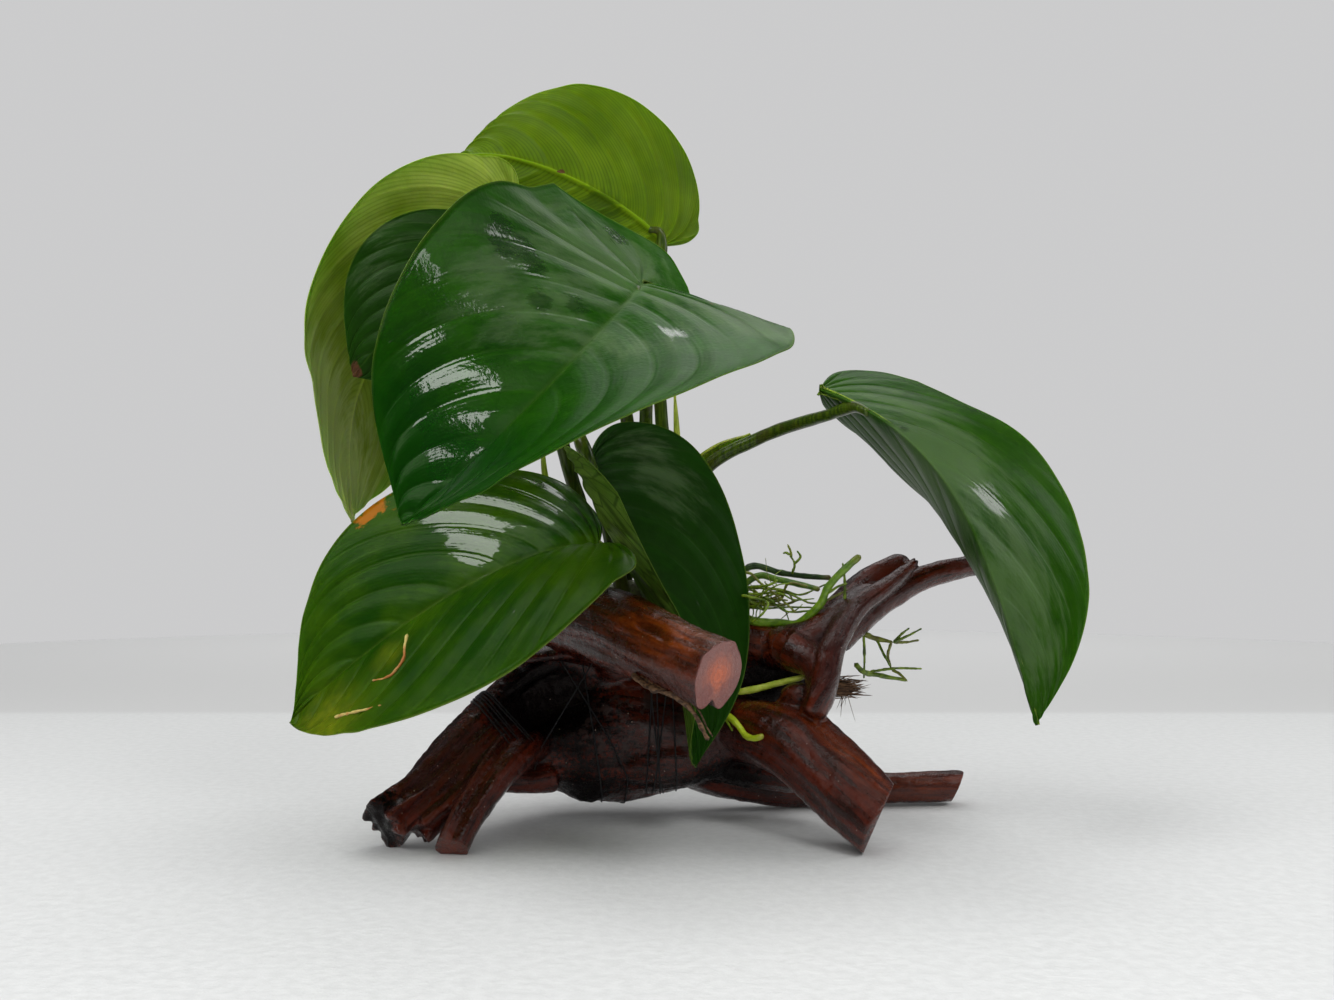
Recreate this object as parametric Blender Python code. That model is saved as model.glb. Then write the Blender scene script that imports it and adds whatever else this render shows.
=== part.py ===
"""An anubias plant tied to a branching piece of driftwood.

Lengths are in millimetres and become metres when a mesh is made. X runs to the right, Y away
from the front and Z up. The floor is Z = 0.
"""
from math import cos, log, pi, radians, sin

import bmesh
import bpy
from mathutils import Vector

MM = 0.001
# The spot on the floor under the middle of the whole, which becomes the origin
MIDDLE = Vector((0.42, -7.08, 0.0))

# Driving dimensions
GAP = 0.3
BLADE_THICK = 1.0
STALK_RADIUS = 1.8
RHIZOME_RADIUS = 5.0
TRUNK_DEPTH_RADIUS = 16.0
LEG_RADIUS = 9.0
LOG_RADIUS = 4.6
STUB_RADIUS = 8.2
SHEATH_RADIUS = 1.5
ROOT_RADIUS = 0.9
THREAD_RADIUS = 0.6

# Facets along and around each kind of piece
BLADE_ROWS = 14
BLADE_ACROSS = 4
WOOD_SIDES = 12
STALK_SIDES = 8
ROOT_SIDES = 6
CURVE_STEPS = 3
MIDRIB_STEPS = 60
RHIZOME_SIDES = 10
SMALLEST_EDGE = 0.02


def clear_scene():
    for item in list(bpy.data.objects):
        bpy.data.objects.remove(item, do_unlink=True)


def make_material(name, colour, roughness):
    material = bpy.data.materials.new(name)
    material.use_nodes = True
    shader = material.node_tree.nodes["Principled BSDF"]
    shader.inputs["Base Color"].default_value = (*colour, 1.0)
    shader.inputs["Roughness"].default_value = roughness
    shader.inputs["Metallic"].default_value = 0.0
    return material


def add_object(name, mesh_builder, material, smooth_angle=50):
    """Turns a finished bmesh, in millimetres, into a named object in metres."""
    for vertex in mesh_builder.verts:
        vertex.co = (vertex.co - MIDDLE) * MM
    bmesh.ops.recalc_face_normals(mesh_builder, faces=mesh_builder.faces)
    mesh = bpy.data.meshes.new(name)
    mesh_builder.to_mesh(mesh)
    mesh_builder.free()
    mesh.shade_smooth()
    mesh.set_sharp_from_angle(angle=radians(smooth_angle))
    mesh.materials.append(material)
    piece = bpy.data.objects.new(name, mesh)
    bpy.context.collection.objects.link(piece)
    return piece


# Smooth curves through a few points
def through(values, place):
    """Value at a place from 0 to len(values) - 1 on a smooth curve through all the values."""
    last = len(values) - 1
    index = min(int(place), last - 1)
    t = place - index
    p1 = values[index]
    p2 = values[index + 1]
    p0 = values[index - 1] if index > 0 else p1 * 2 - p2
    p3 = values[index + 2] if index + 2 <= last else p2 * 2 - p1
    bend = (p0 * -1 + p1 * 3 - p2 * 3 + p3) * t ** 3
    slope = (p0 * 2 - p1 * 5 + p2 * 4 - p3) * t ** 2
    return (p1 * 2 + (p2 - p0) * t + slope + bend) * 0.5


def rings_along(points, radii, upright, sides, steps, grow):
    """Rings of points round a curve. A radius is one number, or a pair: level and upright."""
    points = [Vector(point) for point in points]
    pairs = [Vector(radius) if isinstance(radius, tuple) else Vector((radius, radius))
             for radius in radii]
    count = (len(points) - 1) * steps
    places = [index / steps for index in range(count + 1)]
    centres = [through(points, place) for place in places]
    rings = []
    for index, place in enumerate(places):
        before = centres[max(index - 1, 0)]
        after = centres[min(index + 1, count)]
        along = (after - before).normalized()
        level = along.cross(Vector(upright)).normalized()
        up = level.cross(along)
        centre = centres[index]
        if index == 0:
            centre = centre - along * grow
        if index == count:
            centre = centre + along * grow
        size = through(pairs, place)
        ring = []
        for side in range(sides):
            angle = 2 * pi * side / sides
            ring.append(centre + level * (size.x + grow) * cos(angle)
                        + up * (size.y + grow) * sin(angle))
        rings.append(ring)
    return rings


def tube(points, radii, upright=(0, 0, 1), sides=WOOD_SIDES, steps=CURVE_STEPS, grow=0.0):
    """A closed tube along a smooth curve; grow makes it thicker and longer all round."""
    shape = bmesh.new()
    rings = [[shape.verts.new(point) for point in ring]
             for ring in rings_along(points, radii, upright, sides, steps, grow)]
    for lower, upper in zip(rings, rings[1:]):
        for side in range(sides):
            following = (side + 1) % sides
            shape.faces.new((lower[side], lower[following], upper[following], upper[side]))
    shape.faces.new(rings[0])
    shape.faces.new(list(reversed(rings[-1])))
    bmesh.ops.recalc_face_normals(shape, faces=shape.faces)
    bmesh.ops.triangulate(shape, faces=shape.faces)
    return shape


def cut_away(shape, cutters):
    """Takes the space of each cutter out of a shape."""
    for cutter in cutters:
        body = loose_object("body", shape)
        tool = loose_object("tool", cutter)
        cut = body.modifiers.new("cut", "BOOLEAN")
        cut.object = tool
        cut.operation = "DIFFERENCE"
        view = bpy.context.evaluated_depsgraph_get()
        result = bpy.data.meshes.new_from_object(body.evaluated_get(view))
        shape = bmesh.new()
        shape.from_mesh(result)
        for item in (body, tool):
            bpy.data.objects.remove(item, do_unlink=True)
    bmesh.ops.remove_doubles(shape, verts=shape.verts, dist=SMALLEST_EDGE)
    bmesh.ops.dissolve_degenerate(shape, edges=shape.edges, dist=SMALLEST_EDGE)
    bmesh.ops.triangulate(shape, faces=shape.faces)
    return shape


def loose_object(name, shape):
    mesh = bpy.data.meshes.new(name)
    shape.to_mesh(mesh)
    shape.free()
    item = bpy.data.objects.new(name, mesh)
    bpy.context.collection.objects.link(item)
    return item


def stand_on_floor(shape):
    """Cuts a piece off flat at the floor, so that it has a real face to rest on."""
    everything = shape.verts[:] + shape.edges[:] + shape.faces[:]
    bmesh.ops.bisect_plane(shape, geom=everything, plane_co=(0, 0, 0), plane_no=(0, 0, -1),
                           clear_outer=True)
    rim = [edge for edge in shape.edges if edge.is_boundary]
    if rim:
        bmesh.ops.edgeloop_fill(shape, edges=rim)
    bmesh.ops.triangulate(shape, faces=shape.faces)
    return shape


# Leaf blades
def bow(values, place):
    """Value at a place from 0 to 1 on the parabola through three values."""
    first, middle, last = values
    return (first * (1 - place) * (1 - 2 * place) + 4 * middle * place * (1 - place)
            + last * place * (2 * place - 1))


# How a blade's veins leave the midrib: bunched towards the base, and swept towards the tip
VEIN_START = 1.6
VEIN_SWEEP = 1.3
# Makes a lobe reach back by its stated length
LOBE_SHARE = 0.52


class Blade:
    """A heart-shaped blade. Its midrib is one curve, and each half bends about it.

    facing is the rough direction of the first half. roll turns both halves about the midrib.
    fold is a half's angle at the midrib and curl is how much further it has turned at the
    margin. These three are degrees at the base, the middle and the tip.
    """

    def __init__(self, midrib, facing, roll, widths, lobes, widest, points, folds, curls):
        p0, p1, p2, p3 = [Vector(point) for point in midrib]
        places = [index / MIDRIB_STEPS for index in range(MIDRIB_STEPS + 1)]
        self.centres = [p0 * (1 - t) ** 3 + p1 * 3 * t * (1 - t) ** 2
                        + p2 * 3 * t * t * (1 - t) + p3 * t ** 3 for t in places]
        self.run = [0.0]
        for before, after in zip(self.centres, self.centres[1:]):
            self.run.append(self.run[-1] + (after - before).length)
        self.length = self.run[-1]
        self.facing = Vector(facing)
        self.roll = roll
        self.widths = widths
        self.lobes = lobes
        self.widest = widest
        self.points = points
        self.folds = folds
        self.curls = curls

    def station(self, distance):
        """Centre, direction, sideways and upper side of the midrib at a distance along it."""
        distance = min(max(distance, 0.0), self.length)
        index = 0
        while self.run[index + 1] < distance:
            index += 1
        before = self.centres[index]
        after = self.centres[index + 1]
        share = (distance - self.run[index]) / (self.run[index + 1] - self.run[index])
        along = (self.centres[min(index + 2, MIDRIB_STEPS)] - self.centres[max(index - 1, 0)])
        along.normalize()
        side = (self.facing - along * self.facing.dot(along)).normalized()
        upper = along.cross(side)
        turn = radians(bow(self.roll, distance / self.length))
        turned = side * cos(turn) + upper * sin(turn)
        return before.lerp(after, share), along, turned, along.cross(turned)

    def outline(self, half, angle):
        """Distance along and away from the midrib of a margin point, for an angle 0 to pi."""
        power = log(self.widest[half]) / log(0.5)
        along = ((1 - cos(angle)) / 2) ** power
        out = self.widths[half] * sin(angle) ** (1 + self.points[half] * along ** 2)
        back = self.lobes[half] * sin(angle) * ((1 + cos(angle)) / 2) ** 2 / LOBE_SHARE
        return self.length * along - back, out, self.length * along ** VEIN_START

    def place(self, half, angle, share):
        """A point on a half, share of the way from the midrib to the margin."""
        reach, out, start = self.outline(half, angle)
        along = start + (reach - start) * share ** VEIN_SWEEP
        away = out * share
        centre, direction, side, upper = self.station(along)
        inside = min(max(along, 0.0), self.length)
        spot = inside / self.length
        fold = radians(bow(self.folds[half], spot))
        curl = radians(bow(self.curls[half], spot)) or 0.001
        turned = fold + curl * away / self.widths[half]
        radius = self.widths[half] / curl
        sign = 1 if half == 0 else -1
        return (centre + direction * (along - inside)
                + side * (sign * radius * (sin(turned) - sin(fold)))
                + upper * (radius * (cos(fold) - cos(turned))))

    def sheet(self):
        """The blade's middle surface: both halves joined along the midrib."""
        shape = bmesh.new()
        angles = [pi * row / BLADE_ROWS for row in range(BLADE_ROWS + 1)]
        midrib = [shape.verts.new(self.place(0, angle, 0.0)) for angle in angles]
        for half in (0, 1):
            rows = [[midrib[0]] * (BLADE_ACROSS + 1)]
            for row in range(1, BLADE_ROWS):
                rows.append([midrib[row]] + [
                    shape.verts.new(self.place(half, angles[row], step / BLADE_ACROSS))
                    for step in range(1, BLADE_ACROSS + 1)])
            rows.append([midrib[-1]] * (BLADE_ACROSS + 1))
            for lower, upper in zip(rows, rows[1:]):
                for step in range(BLADE_ACROSS):
                    corners = [lower[step], lower[step + 1], upper[step + 1], upper[step]]
                    if half:
                        corners.reverse()
                    shape.faces.new(list(dict.fromkeys(corners)))
        bmesh.ops.triangulate(shape, faces=shape.faces)
        return shape


# The forms of the seven blades, from the front broad one round to the right-hand one
BLADES = {
    "leaf_front_broad": Blade(
        midrib=((-11.5, -5.5, 140.5), (-11.5, -5, 141.5), (-32, -72, 101.5), (-58, -70, 80.5)),
        facing=(0.8, -0.3, -0.5), roll=(-4, 1, 19), widths=(43.5, 43), lobes=(16.5, 18),
        widest=(0.40, 0.44), points=(1.15, 0.45),
        folds=((12, 18, 23), (3, 12, 9)), curls=((-5, 17, 33), (28, 47, 71))),
    "leaf_back_upper": Blade(
        midrib=((-7, 46, 161), (-17, 43, 175), (-59, 40.5, 194.5), (-70.5, 52, 184.5)),
        facing=(0.4, 0.2, 0.9), roll=(19, 6, 17), widths=(37, 36), lobes=(6.5, 8),
        widest=(0.39, 0.42), points=(0.3, 0.8),
        folds=((16, 5, 15), (5, 5, 5)), curls=((2, 6, 21), (10, 10, 10))),
    "leaf_back_left": Blade(
        midrib=((-47, 29, 159.5), (-93, 44, 136.5), (-100, 44.5, 118), (-89.5, 22.5, 82)),
        facing=(-0.6, -0.3, 0.6), roll=(15, -14, -23), widths=(33.5, 37.5), lobes=(12, 8.5),
        widest=(0.38, 0.40), points=(0.9, 0.3),
        folds=((14, -17, 6), (0, -8, 22)), curls=((21, -26, -2), (1, 1, 1))),
    "leaf_dark_behind": Blade(
        midrib=((-32.5, 16, 142), (-55.5, 13.5, 145.5), (-61, -5, 146.5), (-85, 3, 118.5)),
        facing=(0.7, 0, -0.7), roll=(5, 4, 10), widths=(27.5, 25.5), lobes=(8, 7),
        widest=(0.42, 0.46), points=(0.8, 0.75),
        folds=((-10, -10, -10), (-12, -11, -16)), curls=((10, 10, 10), (11, 14, 12))),
    "leaf_low_left": Blade(
        midrib=((-22.5, -2.5, 76), (-39.5, -6.5, 78), (-76, -3.5, 56.5), (-98, -5, 32.5)),
        facing=(0.5, -0.4, -0.75), roll=(37, 24, 17), widths=(36.5, 37), lobes=(10, 5),
        widest=(0.39, 0.45), points=(0.2, 1.7),
        folds=((24, 17, 6), (17, 21, 16)), curls=((-53, -30, 20), (-20, -6, -11))),
    "leaf_hanging_centre": Blade(
        midrib=((-24.5, 5.5, 95.5), (-13.5, 17.5, 73.5), (1, 35, 54), (2, 19.5, 17.5)),
        facing=(1, 0.6, 0.2), roll=(-6, 13, 4), widths=(32.5, 26), lobes=(3.5, 18),
        widest=(0.29, 0.37), points=(1.25, 0.2),
        folds=((-61, -7, -15), (18, 42, 40)), curls=((100, -20, 7), (112, 87, 125))),
    "leaf_right_arching": Blade(
        midrib=((34.5, 19, 117), (61.5, -13, 102.5), (69.5, -14.5, 83), (84.5, -5.5, 32)),
        facing=(0.7, 0.1, 0.7), roll=(-2, -9, 26), widths=(43.5, 33.5), lobes=(18, 9),
        widest=(0.36, 0.40), points=(0.95, 1.3),
        folds=((-40, -30, -18), (-98, -88, -102)), curls=((-6, 4, 33), (-3, -37, -67))),
}


def build_blades():
    bright = make_material("leaf_bright", (0.16, 0.27, 0.05), 0.35)
    dark = make_material("leaf_dark", (0.02, 0.09, 0.03), 0.25)
    grass = make_material("leaf_grass", (0.05, 0.19, 0.01), 0.25)
    finishes = {"leaf_back_upper": bright, "leaf_back_left": bright, "leaf_low_left": grass}
    for name, blade in BLADES.items():
        piece = add_object(name, blade.sheet(), finishes.get(name, dark))
        thicken = piece.modifiers.new("thickness", "SOLIDIFY")
        thicken.thickness = BLADE_THICK * MM
        thicken.offset = 0.0


# Rhizome, stalks and sheaths
RHIZOME = ((-27, 29, 60), (-12, 33, 61.5), (2, 39, 60.5), (16, 46, 58))


def rhizome(grow=0.0):
    radii = (RHIZOME_RADIUS * 0.8, RHIZOME_RADIUS, RHIZOME_RADIUS, RHIZOME_RADIUS * 0.6)
    return tube(RHIZOME, radii, sides=RHIZOME_SIDES, grow=grow)


# The way each stalk takes from the rhizome, up to just short of its blade
STALK_WAYS = {
    "front_broad": ((-11, 34, 62), (-11.5, 36, 90), (-11.5, 31, 112), (-11.5, 17, 131)),
    "back_upper": ((-5, 38.5, 62), (-5, 42, 88), (-6, 44, 114), (-6.5, 43, 140)),
    "dark_behind": ((-17.5, 35.5, 62), (-16.5, 35, 88), (-17, 33, 112), (-24, 28, 131)),
    "back_left": ((-22.5, 33, 62), (-28, 32, 82), (-34, 31, 102), (-40, 29, 130)),
    "low_left": ((-24, 25.5, 60.5), (-24, 19, 69), (-22.5, 9, 73)),
    "hanging_centre": ((-17.5, 28, 62), (-22, 26, 82), (-27, 21, 98), (-29, 13, 105),
                       (-28, 6, 103.5)),
    "right_arching": ((1, 37, 61), (0, 41, 86), (6, 41, 98), (20, 36, 105.5), (30, 29.5, 110.3)),
}
SHEATHS = {
    "sheath_right": ((2, 42.5, 62), (-0.5, 46, 82), (2, 46, 96), (8, 44, 103), (15, 40.8, 106.8)),
    "sheath_back": ((-3, 33.5, 62), (-2.5, 37, 90), (-3, 39.5, 106), (-3.6, 40.5, 118)),
    "sheath_left": ((-27, 31, 61), (-33, 29.5, 78), (-38, 27, 92), (-39.5, 26, 104)),
}


# Where a stalk stops, counted from its blade's base: how far along the midrib and how far above
# it. The centre leaf hangs from its stalk, and the right leaf is folded down on both sides.
STALK_TOPS = {"right_arching": (-2.6, -9.3), "hanging_centre": (-2.6, 0)}
UNDER_BLADE = (0, -(STALK_RADIUS + BLADE_THICK / 2 + GAP * 2))


def stalk_end(name):
    along, above = STALK_TOPS.get(name, UNDER_BLADE)
    centre, direction, side, upper = BLADES["leaf_" + name].station(0.0)
    return centre + direction * along + upper * above


def build_stem():
    olive = make_material("stem_olive", (0.16, 0.20, 0.04), 0.4)
    pale = make_material("sheath_pale", (0.35, 0.40, 0.10), 0.45)
    brown = make_material("rhizome_brown", (0.10, 0.09, 0.03), 0.6)
    add_object("rhizome", cut_away(rhizome(), [bough(GAP), trunk(GAP), stub(GAP)]), brown)
    for name, way in STALK_WAYS.items():
        points = list(way) + [stalk_end(name)]
        radii = [STALK_RADIUS * 1.15] + [STALK_RADIUS] * (len(way) - 1) + [STALK_RADIUS * 0.65]
        stalk = tube(points, radii, upright=(0, 1, 0.2), sides=STALK_SIDES)
        add_object("stalk_" + name, cut_away(stalk, [rhizome(GAP)]), olive)
    for name, points in SHEATHS.items():
        radii = [SHEATH_RADIUS] * (len(points) - 2) + [SHEATH_RADIUS * 0.8, SHEATH_RADIUS * 0.25]
        sheath = tube(points, radii, upright=(0, 1, 0.2), sides=STALK_SIDES, steps=2)
        add_object(name, cut_away(sheath, [rhizome(GAP)]), pale)


# Driftwood, one function for each limb; grow makes the shape that its neighbours give way to
TRUNK_LINE = ((-54, 38, 29), (-40, 44, 25), (-20, 47, 25), (0, 47, 23), (18, 52, 29), (32, 53, 34))
TRUNK_RADII = ((9, 8), (15, 17), (TRUNK_DEPTH_RADIUS, 21), (TRUNK_DEPTH_RADIUS, 15), (11, 13),
               (7, 8))


def trunk(grow=0.0):
    return tube(TRUNK_LINE, TRUNK_RADII, grow=grow)


def bough(grow=0.0):
    points = ((-30, 40, 45), (-6, 46, 47), (15, 48, 48), (33, 36, 46))
    return tube(points, (10, 10, 6.5, 6), grow=grow)


def stub(grow=0.0):
    points = ((-38, 24, 57), (-22, 4, 54), (-8, -13, 50.5), (8.5, -31, 45.5))
    radii = (STUB_RADIUS, STUB_RADIUS, STUB_RADIUS, STUB_RADIUS * 0.95)
    return tube(points, radii, grow=grow)


def outer_left_leg(grow=0.0):
    points = ((-44, 38, 32), (-57, 26, 25), (-68, 12, 13), (-77, 3, 5.4))
    return tube(points, (6, 5, 5.5, 7), grow=grow)


def inner_left_leg(grow=0.0):
    points = ((-40, 36, 26), (-48, 18, 19), (-55, 4, 9), (-59, -5, 0.5))
    return tube(points, (7, 5.5, 4.2, 3.8), grow=grow)


def flat_branch(grow=0.0):
    points = ((-24, 40, 46), (-40, 31, 45), (-56, 26, 45))
    return tube(points, ((7, 4), (6, 3), (4, 2.5)), grow=grow)


def right_leg(grow=0.0):
    points = ((0, 46, 25), (14, 39, 25), (26, 26, 23), (37, 12, 14), (47, 0, 6))
    radii = (LEG_RADIUS, LEG_RADIUS, LEG_RADIUS, LEG_RADIUS * 0.95, LEG_RADIUS * 0.95)
    return tube(points, radii, grow=grow)


def rear_log(grow=0.0):
    points = ((-6, 49.5, 15.5), (10, 53, 8.5), (30, 55, 4.8), (54, 58, 4.4), (78, 59, 4.4))
    return tube(points, (LOG_RADIUS * 1.3, LOG_RADIUS * 1.2, LOG_RADIUS, LOG_RADIUS, LOG_RADIUS),
                grow=grow)


def twisted_fork(grow=0.0):
    points = ((34, 20, 31), (36, 22, 39), (38.5, 24, 48), (45, 28, 58), (55, 32, 65), (63, 35, 71))
    return tube(points, (3.4, 3.2, 3, 2.8, 2.6, 1.8), grow=grow, steps=2)


def long_branch(grow=0.0):
    points = ((41, 33, 50), (55, 37, 61), (70, 40, 68), (92, 43, 72))
    return tube(points, (4, 3.8, 3.3, 2.4), grow=grow)


def rear_stub(grow=0.0):
    points = ((36, 40, 50), (50, 43, 64), (63, 45, 71.5))
    return tube(points, (5, 4.5, 3.2), grow=grow)


def build_wood():
    red = make_material("wood_wet_red", (0.10, 0.03, 0.015), 0.3)
    black = make_material("wood_dark", (0.03, 0.018, 0.014), 0.4)
    add_object("trunk", stand_on_floor(trunk()), black)
    add_object("bough", cut_away(bough(), [trunk(GAP)]), red)
    add_object("front_stub", cut_away(stub(), [trunk(GAP), bough(GAP)]), red)
    add_object("flat_branch", cut_away(flat_branch(), [trunk(GAP), bough(GAP), stub(GAP)]), black)
    leg = cut_away(outer_left_leg(), [trunk(GAP), flat_branch(GAP)])
    add_object("outer_left_leg", stand_on_floor(leg), red)
    leg = cut_away(inner_left_leg(), [trunk(GAP), outer_left_leg(GAP)])
    add_object("inner_left_leg", stand_on_floor(leg), red)
    leg = cut_away(right_leg(), [trunk(GAP), bough(GAP)])
    add_object("right_leg", stand_on_floor(leg), red)
    log_piece = cut_away(rear_log(), [trunk(GAP), right_leg(GAP)])
    add_object("rear_log", stand_on_floor(log_piece), red)
    add_object("twisted_fork", cut_away(twisted_fork(), [bough(GAP), right_leg(GAP)]), red)
    add_object("rear_stub", cut_away(rear_stub(), [bough(GAP), twisted_fork(GAP)]), red)
    branch = cut_away(long_branch(), [bough(GAP), twisted_fork(GAP), rear_stub(GAP)])
    add_object("long_branch", branch, red)


# Roots and the threads that tie the plant on
ROOTS = {
    "root_bright": ((18, 43, 54.5), (25.5, 40, 54), (30, 36, 54), (33, 32.5, 56.5), (36, 30, 60),
                    (38, 29, 64.5), (42, 28, 69), (46.5, 27, 73)),
    "root_dark": ((17.5, 44, 69.5), (26, 44, 68), (33, 44, 67), (40.5, 43, 66.5)),
    "root_upper": ((19.5, 42, 67), (25.5, 41, 66), (32.5, 38, 64.5), (36.5, 36, 63.5)),
    "root_under": ((16, 37, 35.5), (23.5, 35, 37.5), (31.5, 31, 40)),
    "root_low": ((10.5, 30.2, 29.5), (13, 25.8, 28), (15, 22.8, 25.5), (17, 20, 25),
                 (19.5, 17.8, 26)),
}


def build_roots():
    green = make_material("root_green", (0.30, 0.42, 0.06), 0.5)
    for name, points in ROOTS.items():
        radii = [ROOT_RADIUS] * (len(points) - 1) + [ROOT_RADIUS * 0.6]
        root = tube(points, radii, upright=(0, 1, 0.3), sides=ROOT_SIDES, steps=2)
        add_object(name, root, green)


# Where each thread crosses the trunk, and the angles it runs between round the front, underneath
# and up the back, where the bough keeps it from closing
THREAD_PLACES = {"thread_left": -9.0, "thread_right": -5.5}
THREAD_FROM = 35
THREAD_TO = -205
THREAD_POINTS = 16


def build_threads():
    black = make_material("thread_black", (0.01, 0.01, 0.01), 0.6)
    first, second = Vector(TRUNK_LINE[2]), Vector(TRUNK_LINE[3])
    for name, across in THREAD_PLACES.items():
        place = 2 + (across - first.x) / (second.x - first.x)
        centre = through([Vector(point) for point in TRUNK_LINE], place)
        size = through([Vector(pair) for pair in TRUNK_RADII], place)
        off = GAP + THREAD_RADIUS
        points = []
        for index in range(THREAD_POINTS + 1):
            angle = radians(THREAD_FROM + (THREAD_TO - THREAD_FROM) * index / THREAD_POINTS)
            points.append(centre + Vector((0, -(size.x + off) * cos(angle),
                                           (size.y + off) * sin(angle))))
        thread = tube(points, [THREAD_RADIUS] * len(points), upright=(1, 0, 0), sides=ROOT_SIDES,
                      steps=1)
        add_object(name, thread, black)


clear_scene()
build_wood()
build_stem()
build_blades()
build_roots()
build_threads()
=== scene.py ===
"""Looks of an anubias plant tied to a piece of driftwood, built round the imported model.

Lengths are in millimetres, in the frame of the part's source, and become metres in add_piece.
"""
from math import atan, log, pi, radians

import bpy
import numpy as np
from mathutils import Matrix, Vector
from mathutils.bvhtree import BVHTree


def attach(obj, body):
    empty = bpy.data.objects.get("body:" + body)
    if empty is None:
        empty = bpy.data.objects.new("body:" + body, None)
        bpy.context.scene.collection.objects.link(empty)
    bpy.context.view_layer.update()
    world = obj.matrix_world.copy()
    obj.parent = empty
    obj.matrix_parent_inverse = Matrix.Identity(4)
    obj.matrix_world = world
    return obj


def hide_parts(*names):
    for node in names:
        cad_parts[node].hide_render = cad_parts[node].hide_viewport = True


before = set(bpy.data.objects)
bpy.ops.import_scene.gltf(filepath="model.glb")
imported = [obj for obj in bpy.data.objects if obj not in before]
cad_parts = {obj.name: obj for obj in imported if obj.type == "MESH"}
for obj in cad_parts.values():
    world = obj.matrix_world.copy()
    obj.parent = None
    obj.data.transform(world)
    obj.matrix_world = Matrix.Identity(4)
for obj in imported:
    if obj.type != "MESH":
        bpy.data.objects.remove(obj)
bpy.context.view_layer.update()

# Driftwood
# One branching piece of dead wood, bare of bark, soaked and wet. It is grown, so its limbs run
# into each other without joints. Some limbs end in a saw cut, and others are broken or worn round.
MM = 0.001
MIDDLE = np.array((0.42, -7.08, 0.0))
WOOD_VOXEL = 0.55
WOOD_SIDES = 72
WOOD_SPACING = 0.6
GRAIN_STRETCH = 0.12


def noise(points, size, seed=0):
    """Smooth random values from -1 to 1 at points, in bumps about as wide as size."""
    place = np.asarray(points, float) / size + seed * 17.31
    cell = np.floor(place)
    part = place - cell
    part = part * part * (3 - 2 * part)
    total = np.zeros(place.shape[:-1])
    for corner in np.ndindex(2, 2, 2):
        x, y, z = np.moveaxis(cell + corner, -1, 0)
        value = np.sin(x * 127.1 + y * 311.7 + z * 74.7 + seed * 53.1) * 43758.5453
        weight = np.where(corner, part, 1 - part).prod(axis=-1)
        total += (2 * (value - np.floor(value)) - 1) * weight
    return total


def unit(vectors):
    return vectors / np.maximum(np.linalg.norm(vectors, axis=-1, keepdims=True), 1e-9)


def through(values, spacing):
    """Even points on a smooth curve through the values, spaced by their first three columns."""
    values = np.asarray(values, float)
    padded = np.vstack([2 * values[0] - values[1], values, 2 * values[-1] - values[-2]])
    fine = []
    for p0, p1, p2, p3 in zip(padded, padded[1:], padded[2:], padded[3:]):
        for t in np.arange(0, 1, 0.025):
            fine.append((p1 * 2 + (p2 - p0) * t + (p0 * 2 - p1 * 5 + p2 * 4 - p3) * t ** 2
                         + (p1 * 3 - p0 - p2 * 3 + p3) * t ** 3) / 2)
    fine = np.array(fine + [values[-1]])
    run = np.concatenate([[0], np.cumsum(np.linalg.norm(np.diff(fine[:, :3], axis=0), axis=1))])
    even = np.linspace(0, run[-1], max(int(run[-1] / spacing), 4) + 1)
    return even, np.stack([np.interp(even, run, column) for column in fine.T], axis=1)


def add_piece(name, points, faces, material, slot, nodes=(), uv=None, **values):
    """A mesh object that rides on the body. values are numbers or vectors, one for each point."""
    mesh = bpy.data.meshes.new(name)
    mesh.from_pydata(((np.asarray(points) - MIDDLE) * MM).tolist(), [], faces)
    for key, numbers in values.items():
        numbers = np.asarray(numbers, np.float32)
        kind = "FLOAT_VECTOR" if numbers.ndim == 2 else "FLOAT"
        field = "vector" if numbers.ndim == 2 else "value"
        mesh.attributes.new(key, kind, "POINT").data.foreach_set(field, numbers.ravel())
    if uv is not None:
        corners = np.empty(len(mesh.loops), np.int32)
        mesh.loops.foreach_get("vertex_index", corners)
        mesh.uv_layers.new(name="veins").data.foreach_set("uv", np.asarray(uv)[corners].ravel())
    mesh.shade_smooth()
    mesh.materials.append(material)
    piece = bpy.data.objects.new(name, mesh)
    bpy.context.collection.objects.link(piece)
    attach(piece, "root")
    if nodes:
        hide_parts(*nodes)
    return piece


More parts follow.
